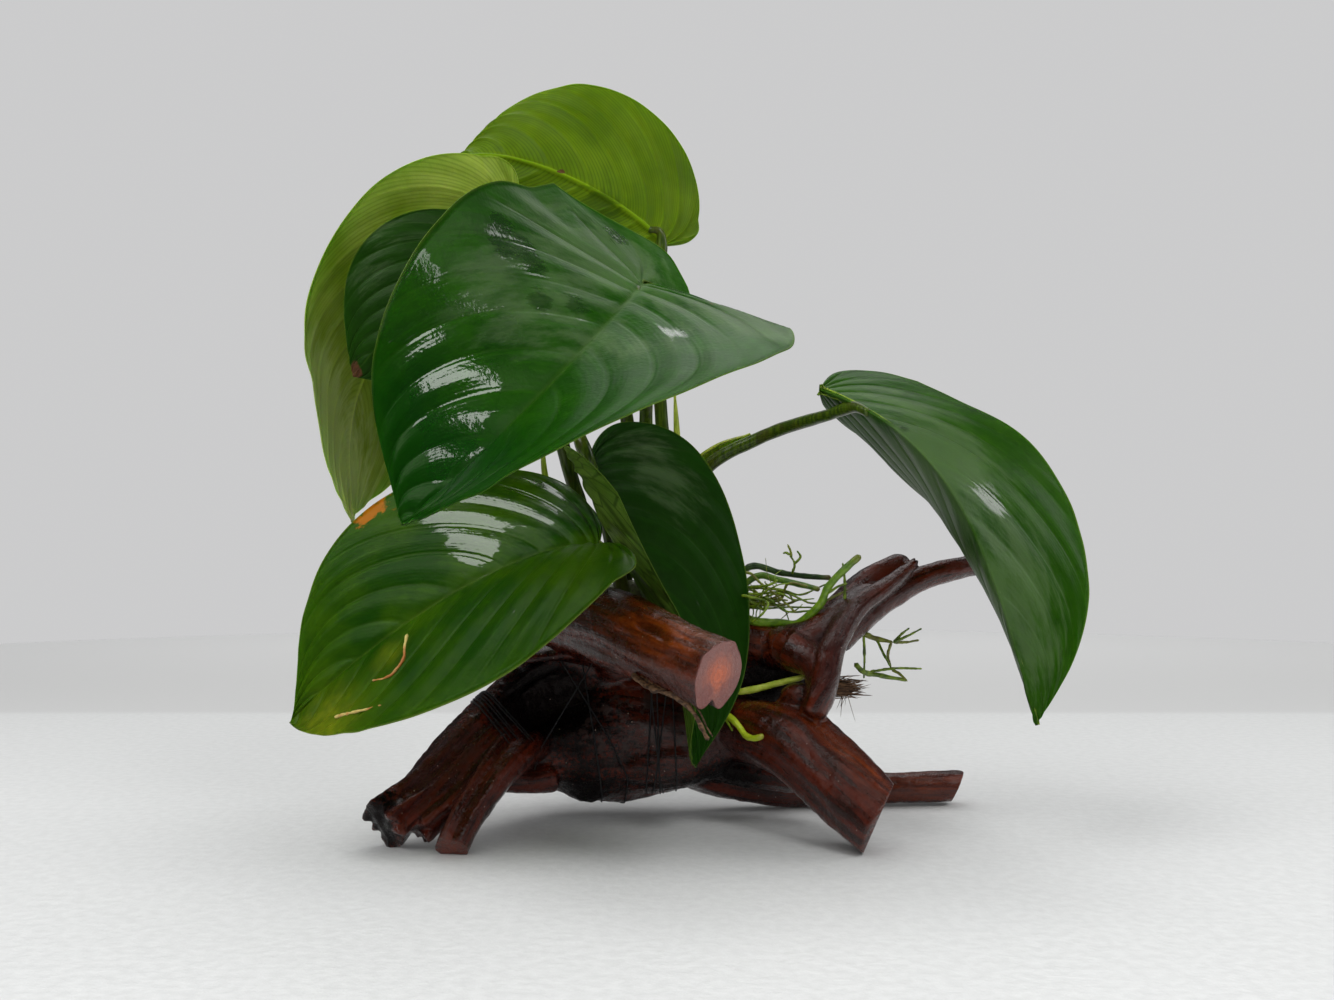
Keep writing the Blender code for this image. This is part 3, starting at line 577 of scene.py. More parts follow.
def torn_wood():
    rng = np.random.default_rng(7)
    shapes = [strand(SPLINTER, 0.75, 0.6, 10, 0.5, 2),
              strand(np.array(SPLINTER) + (0.9, 0.4, 0.7), 0.45, 0.3, 8, 0.4, 3),
              strand([TUFT_ROOT - 4 * TUFT_WAY, TUFT_ROOT, TUFT_ROOT + 6.0 * TUFT_WAY], 2.0, 0.6, 20, 0.6, 4)]
    for number in range(SHREDS):
        start = TUFT_ROOT + rng.normal(0, 1.0, 3) * (0.5, 1, 1)
        way = TUFT_WAY + rng.normal(0, 0.09, 3)
        length = rng.uniform(5.0, 11.0)
        droop = np.array((0, 0, rng.uniform(-0.9, 0.9)))
        middle = start + way * length * 0.5 + rng.normal(0, 0.3, 3)
        shapes.append(strand((start, middle, start + way * length + droop), rng.uniform(0.14, 0.34), 0.25, 5,
                             0.0, number, 0.9))
    for number in range(7):
        start = TUFT_ROOT + rng.normal(0, 0.8, 3) + TUFT_WAY * 5
        end = start + (rng.normal(0, 1.2), rng.normal(0, 1), -rng.uniform(3, 9))
        shapes.append(strand((start, (start + end) / 2 + rng.normal(0, 0.6, 3), end), 0.1, 0.5, 4, 0.0,
                             number, 0.7))
    return joined(shapes)


def fibre_finish():
    fibre = Finish("torn_fibre")
    along = fibre.cloud(fibre.place((0.3, 1, 1)), 1.6, 4.0)
    colour = fibre.mix(fibre.step(along, 0.35, 0.65), (0.030, 0.014, 0.007), (0.15, 0.080, 0.040))
    return fibre.finish(Base_Color=colour, Roughness=0.6, Specular_IOR_Level=0.3, Normal=fibre.bump(along, 0.0002))


shreds, shred_faces, _ = joined([torn_wood()[:2]])
add_piece("torn_fibres", shreds, shred_faces, fibre_finish(), "wood_dark")

# Rhizome
# The plant's creeping stem, which lies along the bough under the leaves. It is thick and green-brown,
# ringed by the scars of old leaves, and tied down with thread.
RHIZOME = ((-27, 29, 60), (-12, 33, 61.5), (2, 39, 60.5), (16, 46, 58))
RHIZOME_RADII = (4.0, 5.0, 5.0, 3.0)
SCAR_SPACING = 4.6


def rhizome_shape():
    run, rows = through(np.hstack([RHIZOME, np.array(RHIZOME_RADII)[:, None]]), 0.4)
    rings = 0.12 * np.abs(np.sin(run * pi / SCAR_SPACING)) ** 0.5
    ends = np.minimum(run, run[-1] - run) / 4.0
    round_ends = np.sqrt(np.clip(1 - (1 - np.clip(ends, 0, 1)) ** 2, 0.02, 1))
    return tube(rows[:, :3], rows[:, 3] * (0.9 + rings) * round_ends, 48, 0.14, 8)


def rhizome_finish():
    stem = Finish("rhizome")
    place = stem.place()
    colour = stem.mix(stem.step(stem.cloud(place, 0.3, 4.0), 0.38, 0.62), (0.050, 0.050, 0.012), (0.11, 0.14, 0.03))
    colour = stem.mix(stem.step(stem.cloud(place, 0.9, 4.0), 0.55, 0.7), colour, (0.035, 0.02, 0.01))
    bump = stem.bump(stem.cloud(place, 1.4, 4.0), 0.0004)
    return stem.finish(Base_Color=colour, Roughness=0.5, Normal=bump, Coat_Weight=0.3, Coat_Roughness=0.25)


rhizome_points, rhizome_faces = rhizome_shape()
add_piece("rhizome_stem", rhizome_points, rhizome_faces, rhizome_finish(), "rhizome_brown", ["rhizome"])

# Tying threads
# Black cotton, wound tightly round the trunk, the bough and the rhizome to hold the plant on until
# it roots. A second binding goes round the trunk where the left legs leave it.
THREAD = 0.22


def tied_to():
    points, faces, _ = joined([(wood_points, wood_faces), (rhizome_points, rhizome_faces)])
    return BVHTree.FromPolygons([Vector(point) for point in points], faces)


def hull(flat):
    """The corners of the tightest loop round points in a plane, in order."""
    flat = sorted(map(tuple, flat))

    def half(points):
        chain = []
        for point in points:
            while len(chain) > 1 and ((chain[-1][0] - chain[-2][0]) * (point[1] - chain[-2][1])
                                      - (chain[-1][1] - chain[-2][1]) * (point[0] - chain[-2][0])) <= 0:
                chain.pop()
            chain.append(point)
        return chain[:-1]

    return np.array(half(flat) + half(flat[::-1]))


def taut_loop(tree, centre, across, radius, thickness=THREAD):
    """A thread pulled tight round whatever lies within radius of the centre."""
    across = unit(np.array(across, float))
    first = unit(np.cross(across, (0.0, 0.0, 1.0)))
    second = np.cross(first, across)
    centre = np.array(centre, float)
    flat = []
    for angle in np.linspace(0, 2 * pi, 96, endpoint=False):
        way = first * np.cos(angle) + second * np.sin(angle)
        hit = tree.ray_cast(Vector(centre + way * radius), Vector(-way), radius)[0]
        if hit is not None:
            offset = np.array(hit) - centre
            flat.append((offset @ first, offset @ second))
    corners = hull(flat)
    corners = corners * (1 + (thickness + 0.05) / np.linalg.norm(corners, axis=1)[:, None])
    corners = np.vstack([corners, corners[:1]])
    run = np.concatenate([[0], np.cumsum(np.linalg.norm(np.diff(corners, axis=0), axis=1))])
    even = np.linspace(0, run[-1], int(run[-1] / 0.8))
    x, y = (np.interp(even, run, column) for column in corners.T)
    return tube(centre + x[:, None] * first + y[:, None] * second, thickness, 6)


def thread_finish():
    thread = Finish("black_thread")
    twist = thread.node("TexWave", {"Vector": thread.place((1, 1, 1)), "Scale": 1.3, "Distortion": 2.0})
    colour = thread.mix(twist.outputs[1], (0.004, 0.004, 0.005), (0.018, 0.018, 0.02))
    return thread.finish(Base_Color=colour, Roughness=0.55, Normal=thread.bump(twist.outputs[1], 0.00015))


BINDINGS = {
    "thread_left_turns": ("thread_left", [((-9.0 + step, 45, 41), (1, 0.02 * step, lean), 35)
                                          for step, lean in ((-1.2, 0.10), (-0.4, -0.06), (0.3, 0.03))]),
    "thread_right_turns": ("thread_right", [((-5.5 + step, 46, 41), (1, 0.03, lean), 35)
                                            for step, lean in ((-0.3, -0.12), (0.5, 0.05))]),
    "thread_leg_turns": (None, [((-54.0 + step, 30, 30 + 0.8 * step), (0.75, 0.45 + 0.06 * step, 0.5), 16)
                                for step in (-1.8, -1.1, -0.3, 0.3, 1.1, 1.7)]
                         + [((-30.0, 44, 26), (1, 0.5, 0.55), 26), ((-31.0, 44, 26), (1, -0.3, -0.5), 26),
                            ((-27.5, 44, 26), (1, 0.12, 0.15), 26)]),
}
black_thread = thread_finish()
tie_tree = tied_to()
for name, (node, loops) in BINDINGS.items():
    points, faces, _ = joined([taut_loop(tie_tree, *loop) for loop in loops])
    add_piece(name, points, faces, black_thread, "thread_black", [node] if node else ())

# Leaf blades
# Seven thick, waxy, heart-shaped blades. Each is one sheet with a stout midrib that stands proud
# underneath, side veins that dent the upper face and quilt the sheet between them, and a thin edge.
VEIN_START = 1.6
VEIN_SWEEP = 1.3
LOBE_SHARE = 0.52
SIDE_VEINS = 12
VEIN_LEAN = 0.9
MIDRIB_STEPS = 60
BLADE_ROWS = 200
BLADE_ACROSS = 34
BLADE_THICK = 0.55
FORMS = {
    "leaf_front_broad": dict(
        midrib=((-11.5, -5.5, 140.5), (-11.5, -5, 141.5), (-32, -72, 101.5), (-58, -70, 80.5)),
        facing=(0.8, -0.3, -0.5), roll=(-4, 1, 19), widths=(43.5, 43), lobes=(16.5, 18),
        widest=(0.40, 0.44), points=(1.15, 0.45),
        folds=((12, 18, 23), (3, 12, 9)), curls=((-5, 17, 33), (28, 47, 71)), quilt=0.4, ripple=0.5,
        pulls=((1, 19, 18, (13.5, 2.5, -1.5)), (1, 4, 8, (6.0, 1.0, -4.0)))),
    "leaf_back_upper": dict(
        midrib=((-7, 46, 161), (-17, 43, 175), (-59, 40.5, 194.5), (-70.5, 52, 184.5)),
        facing=(0.4, 0.2, 0.9), roll=(19, 6, 17), widths=(37, 36), lobes=(6.5, 8),
        widest=(0.39, 0.42), points=(0.3, 0.8),
        folds=((16, 5, 15), (5, 5, 5)), curls=((2, 6, 21), (10, 10, 10)), quilt=0.3, ripple=0.7),
    "leaf_back_left": dict(
        midrib=((-47, 29, 159.5), (-93, 44, 136.5), (-100, 44.5, 118), (-89.5, 22.5, 82)),
        facing=(-0.6, -0.3, 0.6), roll=(15, -14, -23), widths=(33.5, 37.5), lobes=(12, 8.5),
        widest=(0.38, 0.40), points=(0.9, 1.2),
        folds=((14, -17, 6), (0, -8, 22)), curls=((21, -26, -2), (1, 1, 1)), quilt=0.45, ripple=0.5),
    "leaf_dark_behind": dict(
        midrib=((-32.5, 16, 142), (-55.5, 13.5, 145.5), (-61, -5, 146.5), (-85, 3, 118.5)),
        facing=(0.7, 0, -0.7), roll=(5, 4, 10), widths=(27.5, 25.5), lobes=(8, 7),
        widest=(0.42, 0.46), points=(0.8, 0.75),
        folds=((-10, -10, -10), (-12, -11, -16)), curls=((10, 10, 10), (11, 14, 12)), quilt=0.2, ripple=0.3),
    "leaf_low_left": dict(
        midrib=((-22.5, -2.5, 76), (-39.5, -6.5, 78), (-76, -3.5, 56.5), (-98, -5, 32.5)),
        facing=(0.5, -0.4, -0.75), roll=(37, 24, 17), widths=(36.5, 37), lobes=(10, 5),
        widest=(0.39, 0.45), points=(0.2, 1.7),
        folds=((24, 17, 6), (17, 21, 16)), curls=((-53, -30, 20), (-20, -6, -11)), quilt=0.4, ripple=0.5),
    "leaf_hanging_centre": dict(
        midrib=((-24.5, 5.5, 95.5), (-13.5, 17.5, 73.5), (1, 35, 54), (2, 19.5, 17.5)),
        facing=(1, 0.6, 0.2), roll=(-6, 13, 4), widths=(32.5, 26), lobes=(3.5, 18),
        widest=(0.29, 0.37), points=(1.25, 0.2),
        folds=((-61, -7, -15), (18, 42, 40)), curls=((100, -20, 7), (112, 87, 125)), quilt=0.4, ripple=0.3),
    "leaf_right_arching": dict(
        midrib=((34.5, 19, 117), (61.5, -13, 102.5), (69.5, -14.5, 83), (84.5, -5.5, 32)),
        facing=(0.7, 0.1, 0.7), roll=(-2, -9, 26), widths=(43.5, 33.5), lobes=(18, 9),
        widest=(0.36, 0.40), points=(0.95, 1.3),
        folds=((-40, -30, -18), (-98, -88, -102)), curls=((-6, 4, 33), (-3, -37, -67)), quilt=0.35, ripple=0.6),
}


def bow(values, place):
    """Values at places from 0 to 1 on the parabola through three values."""
    first, middle, last = values
    return (first * (1 - place) * (1 - 2 * place) + 4 * middle * place * (1 - place)
            + last * place * (2 * place - 1))


class Blade:
    """A blade's middle surface: its midrib is one curve, and each half bends about it."""

    def __init__(self, form):
        self.form = form
        p0, p1, p2, p3 = np.array(form["midrib"], float)
        t = np.linspace(0, 1, MIDRIB_STEPS + 1)[:, None]
        self.centres = p0 * (1 - t) ** 3 + p1 * 3 * t * (1 - t) ** 2 + p2 * 3 * t * t * (1 - t) + p3 * t ** 3
        self.run = np.concatenate([[0], np.cumsum(np.linalg.norm(np.diff(self.centres, axis=0), axis=1))])
        self.length = self.run[-1]
        step = np.arange(MIDRIB_STEPS)
        self.ways = unit(self.centres[np.minimum(step + 2, MIDRIB_STEPS)]
                         - self.centres[np.maximum(step - 1, 0)])

    def station(self, distance):
        """Centre, direction, sideways and upper side of the midrib at distances along it."""
        between = (self.run[1:] + self.run[:-1]) / 2
        centre = np.stack([np.interp(distance, self.run, column) for column in self.centres.T], axis=-1)
        along = unit(np.stack([np.interp(distance, between, column) for column in self.ways.T], axis=-1))
        facing = np.array(self.form["facing"], float)
        side = unit(facing - (along @ facing)[..., None] * along)
        turn = np.radians(bow(self.form["roll"], np.asarray(distance) / self.length))[..., None]
        side = side * np.cos(turn) + np.cross(along, side) * np.sin(turn)
        return centre, along, side, np.cross(along, side)

    def spot(self, half, angle, share):
        """Points on a half, share of the way from the midrib to the margin at an angle 0 to pi."""
        form = self.form
        along = ((1 - np.cos(angle)) / 2) ** (log(form["widest"][half]) / log(0.5))
        width = form["widths"][half]
        out = width * np.sin(angle) ** (1 + form["points"][half] * along ** 2)
        back = form["lobes"][half] * np.sin(angle) * ((1 + np.cos(angle)) / 2) ** 2 / LOBE_SHARE
        start = self.length * along ** VEIN_START
        reach = start + (self.length * along - back - start) * share ** VEIN_SWEEP
        inside = np.clip(reach, 0, self.length)
        centre, direction, side, upper = self.station(inside)
        place = inside / self.length
        fold = np.radians(bow(form["folds"][half], place))
        curl = np.radians(bow(form["curls"][half], place))
        curl = np.where(np.abs(curl) < 0.001, 0.001, curl)
        turned = fold + curl * out * share / width
        radius = width / curl
        sign = 1 if half == 0 else -1
        return (centre + direction * (reach - inside)[..., None]
                + side * (sign * radius * (np.sin(turned) - np.sin(fold)))[..., None]
                + upper * (radius * (np.cos(fold) - np.cos(turned)))[..., None]), out * share


def blade_sheet(blade, seed, marks):
    """The finished blade: points, faces, vein coordinates, and how much each point is underside."""
    angles = np.linspace(0, pi, BLADE_ROWS + 1)[1:-1]
    shares = np.linspace(0, 1, BLADE_ACROSS + 1) ** 1.3
    a, v = np.meshgrid(angles, shares, indexing="ij")
    swept = a + VEIN_LEAN * pi * (a / pi) ** 0.8 * (1 - a / pi) * v ** 1.4
    halves = [blade.spot(half, swept, v) for half in (1, 0)]
    for half, where, wide, pull in blade.form.get("pulls", ()):
        share_of = np.exp(-((np.degrees(swept) - where) / wide) ** 2) * v ** 1.5
        halves[1 - half][0][...] += share_of[..., None] * np.array(pull)
    places = np.concatenate([halves[0][0][:, :0:-1], halves[1][0]], axis=1)
    away = np.concatenate([halves[0][1][:, :0:-1], halves[1][1]], axis=1)
    share = np.concatenate([v[:, :0:-1], v], axis=1)
    across = np.concatenate([0.5 - v[:, :0:-1] / 2, 0.5 + v / 2], axis=1)
    angle = np.concatenate([a[:, :0:-1], a], axis=1)
    rows, columns = angle.shape
    index = np.arange(rows * columns).reshape(rows, columns)
    quads = np.stack([index[:-1, :-1], index[:-1, 1:], index[1:, 1:], index[1:, :-1]], axis=-1)
    base, tip = rows * columns, rows * columns + 1
    faces = quads.reshape(-1, 4).tolist()
    faces += [[base, index[0, i + 1], index[0, i]] for i in range(columns - 1)]
    faces += [[tip, index[-1, i], index[-1, i + 1]] for i in range(columns - 1)]
    ends = blade.centres[[0, -1]]
    points = np.vstack([places.reshape(-1, 3), ends])
    sheet = bpy.data.meshes.new("sheet")
    sheet.from_pydata(points.tolist(), [], faces)
    normals = np.empty(len(points) * 3, np.float32)
    sheet.vertex_normals.foreach_get("vector", normals)
    normals = normals.reshape(-1, 3).astype(float)
    bpy.data.meshes.remove(sheet)
    if normals[index[rows // 2, columns // 2]] @ blade.station(blade.length / 2)[3] < 0:
        normals = -normals

    form = blade.form
    vein = angle / pi * SIDE_VEINS
    gap = np.linalg.norm(np.gradient(places, angles, axis=0), axis=2) * pi / SIDE_VEINS
    off = np.abs(vein - np.round(vein)) * gap
    fade = np.clip(share / 0.08, 0, 1) * np.clip((1 - share) / 0.18, 0, 1)
    swell = form["quilt"] * np.cos(pi * (vein - np.round(vein))) ** 2
    bulge = (form["quilt"] - swell) * fade * np.clip(gap / 6, 0, 1)
    dent = 0.28 * np.exp(-(off / 0.55) ** 2) * fade * np.clip(gap / 3, 0, 1)
    left = 1 - np.interp(angle, [0, pi], [0, 1])
    groove = 0.45 * left * np.exp(-(away / 0.9) ** 2)
    rib = (0.15 + 1.25 * left ** 0.8) * np.exp(-(away / (0.35 + 0.8 * left)) ** 2)
    around = np.stack([angle * 9, across * 6, 0 * angle + seed], axis=-1)
    wave = form["ripple"] * share ** 3 * noise(around, 1.0, seed) + 0.25 * noise(places, 13.0, seed) * share
    thick = BLADE_THICK * (1 - 0.55 * share ** 6) / 2

    def pad(grid):
        return np.concatenate([grid.ravel(), [grid[0].mean(), grid[-1].mean()]])[:, None]

    top = points + normals * pad(wave + bulge - dent - groove + thick)
    under = points + normals * pad(wave + bulge - dent * 1.3 - rib - thick)
    count = len(points)
    edge_loop = ([base] + index[:, 0].tolist() + [tip] + index[::-1, -1].tolist())
    turned = edge_loop[1:] + edge_loop[:1]
    all_faces = faces + [[count + corner for corner in reversed(face)] for face in faces]
    all_faces += [[two, one, one + count, two + count] for one, two in zip(edge_loop, turned)]
    uv = np.stack([np.append(angle.ravel() / pi, [0, 1]), np.append(across.ravel(), [0.5, 0.5])], axis=1)
    spots = {key: np.zeros(count) for key in ("patch", "yellow", "tan", "shade", "wet", "painted_sheen", "deep_shade")}
    for key, half, where, how_far, size, amount in marks:
        middle = blade.spot(half, np.array(radians(where)), np.array(how_far))[0]
        spots[key] += amount * nearness(points, middle, size)
    return (np.vstack([top, under]), all_faces, np.vstack([uv, uv]),
            dict(under=np.repeat([0.0, 1.0], count), **{k: np.tile(v, 2) for k, v in spots.items()}))


def leaf_finish(name, upper, edge, lower, lower_pale, gloss=0.16, dull=0.36, glow=0.25, ribs=0.06, net=0.0,
                fine_lines=0.2, sheen_colour=(0.11, 0.16, 0.075), sheen_strength=0.34):
    """Waxy leaf. upper, edge, lower and lower_pale are the colours of its two faces.

    gloss and dull are its roughness where it is wet and where it has dried, and glow is how much light shines through
    it. ribs, net and fine_lines are how clearly the side veins, the net of veins and the finest lines show. The last
    two give the colour and strength of a painted sheen, which on the back left leaf also stands for light shining
    through.
    """
    leaf = Finish(name)
    uv = leaf.node("SeparateXYZ", {0: leaf.node("UVMap", {}, uv_map="veins").outputs[0]})
    place = leaf.place()
    run, across = uv.outputs[0], uv.outputs[1]
    share = leaf.math("MULTIPLY", leaf.math("ABSOLUTE", leaf.math("SUBTRACT", across, 0.5)), 2.0)
    vein = leaf.math("PINGPONG", leaf.math("MULTIPLY", run, float(SIDE_VEINS)), 0.5)
    on_vein = leaf.step(vein, 0.06, 0.0)
    fine = leaf.math("PINGPONG", leaf.math("MULTIPLY", run, SIDE_VEINS * 9.0), 0.5)
    midrib = leaf.step(share, 0.028, 0.010)
    rim = leaf.step(share, 0.984, 0.998)
    clouds = leaf.cloud(place, 0.055, 3.0)
    mottle = leaf.cloud(place, 0.35, 4.0)
    streaky = leaf.node("CombineXYZ", {0: leaf.math("MULTIPLY", run, 60.0), 1: leaf.math("MULTIPLY", share, 3.0)})
    streaks = leaf.cloud(streaky.outputs[0], 1.0, 3.0)
    mesh_of_veins = leaf.node("CombineXYZ", {0: leaf.math("MULTIPLY", run, 34.0), 1: leaf.math("MULTIPLY", share, 5.0)})
    cells = leaf.node("TexVoronoi", {"Vector": mesh_of_veins.outputs[0], "Scale": 1.0},
                      feature="DISTANCE_TO_EDGE").outputs["Distance"]
    netting = leaf.step(cells, 0.07, 0.01)

    top = leaf.mix(leaf.step(clouds, 0.35, 0.7), upper, edge)
    top = leaf.mix(leaf.step(share, 0.6, 1.1, 0.0, 0.5), top, edge)
    top = leaf.mix(leaf.step(mottle, 0.45, 0.75, 0.0, 0.3), top, tuple(0.55 * c for c in upper))
    top = leaf.mix(leaf.step(streaks, 0.5, 0.75, 0.0, 0.3), top, tuple(1.6 * c for c in edge))
    top = leaf.mix(leaf.math("MULTIPLY", on_vein, ribs), top, lower)
    top = leaf.mix(leaf.math("MULTIPLY", midrib, 3 * ribs), top, lower)
    bottom = leaf.mix(leaf.step(clouds, 0.3, 0.7), lower, lower_pale)
    bottom = leaf.mix(leaf.step(fine, 0.30, 0.05, 0.0, fine_lines), bottom, tuple(0.45 * c for c in lower))
    bottom = leaf.mix(leaf.step(streaks, 0.35, 0.7, 0.0, 0.35), bottom, tuple(0.65 * c for c in lower))
    bottom = leaf.mix(leaf.math("MULTIPLY", on_vein, min(6 * ribs, 0.6)), bottom, lower_pale)
    bottom = leaf.mix(leaf.math("MULTIPLY", netting, net), bottom, tuple(0.3 * c for c in lower))
    bottom = leaf.mix(leaf.math("MULTIPLY", midrib, 0.8), bottom, tuple(1.3 * c for c in lower_pale))
    colour = leaf.mix(leaf.field("under"), top, bottom)
    colour = leaf.mix(leaf.math("MULTIPLY", rim, 0.5), colour, lower_pale)
    blotch = leaf.math("ADD", leaf.field("patch"), leaf.step(mottle, 0.3, 0.7, -0.45, 0.3))
    colour = leaf.mix(leaf.step(blotch, 0.35, 0.75), colour, (0.33, 0.10, 0.003))
    yellow = leaf.math("MULTIPLY", leaf.field("yellow"), leaf.step(mottle, 0.3, 0.7, 0.5, 1.0))
    colour = leaf.mix(leaf.math("MINIMUM", yellow, 1.0), colour, (0.14, 0.17, 0.004))
    tan = leaf.math("ADD", leaf.field("tan"), leaf.step(mottle, 0.3, 0.7, -0.35, 0.2))
    colour = leaf.mix(leaf.step(tan, 0.4, 0.6), colour, (0.06, 0.025, 0.012))
    shade = leaf.math("ADD", leaf.field("shade"), leaf.step(streaks, 0.3, 0.7, -0.3, 0.2))
    shaded = leaf.math("MULTIPLY", leaf.step(shade, 0.2, 0.7), 0.6)
    colour = leaf.mix(shaded, colour, tuple(0.5 * c for c in upper))

    film_at = leaf.node("CombineXYZ", {0: leaf.math("MULTIPLY", run, 26.0), 1: leaf.math("MULTIPLY", across, 9.0)})
    ragged = leaf.cloud(film_at.outputs[0], 1.0, 5.0, 0.65)
    # Painted sheen: a pale film colour laid where the blade looks to reflect the room; on the back left leaf it also
    # stands for light shining through
    sheen_amount = leaf.math("ADD", leaf.field("painted_sheen"), leaf.step(ragged, 0.3, 0.7, -0.65, 0.2))
    sheen_amount = leaf.math("MULTIPLY", leaf.step(sheen_amount, 0.1, 1.1, 0.0, sheen_strength), leaf.math("SUBTRACT", 1.0, shaded))
    colour = leaf.mix(sheen_amount, colour, sheen_colour)
    # Painted shade: a deeper, darker green where the blade looks shaded, mostly towards the front leaf's tip
    deep_shade = leaf.math("MULTIPLY", leaf.field("deep_shade"), leaf.step(mottle, 0.3, 0.7, 0.75, 1.0))
    colour = leaf.mix(leaf.math("MINIMUM", deep_shade, 1.0), colour, (0.0015, 0.028, 0.0001))
    film = leaf.math("ADD", ragged, leaf.math("MULTIPLY", leaf.field("wet"), 0.5))
    wet = leaf.math("MAXIMUM", leaf.step(film, 0.70, 0.76), leaf.step(shade, 0.2, 0.5))
    rough = leaf.mix(wet, (dull,) * 3, (gloss,) * 3)
    rough = leaf.mix(leaf.step(ragged, 0.35, 0.65, 0.0, 0.35), rough, (dull + 0.15,) * 3)
    rough = leaf.mix(leaf.field("under"), rough, (0.5,) * 3)
    lines = leaf.bump(fine, 0.00002)
    dimples = leaf.bump(leaf.cloud(place, 0.7, 2.0), 0.00008, lines)
    coat = leaf.math("MULTIPLY", leaf.math("SUBTRACT", 1.0, leaf.field("under")), leaf.math("MULTIPLY", wet, 0.9))
    return leaf.finish(Base_Color=colour, Roughness=leaf.node("RGBToBW", {0: rough}).outputs[0], Normal=dimples,
                       Specular_IOR_Level=0.1, Specular_Tint=(0.7, 1.0, 0.5), Coat_Weight=coat,
                       Coat_Roughness=0.08, Coat_Normal=dimples, Subsurface_Weight=glow, Subsurface_Radius=(0.6, 1.0, 0.15),
                       Subsurface_Scale=0.0012)


DARK_GREEN = dict(upper=(0.005, 0.037, 0.0003), edge=(0.011, 0.060, 0.0004), lower=(0.045, 0.095, 0.008),
                  lower_pale=(0.09, 0.15, 0.02))
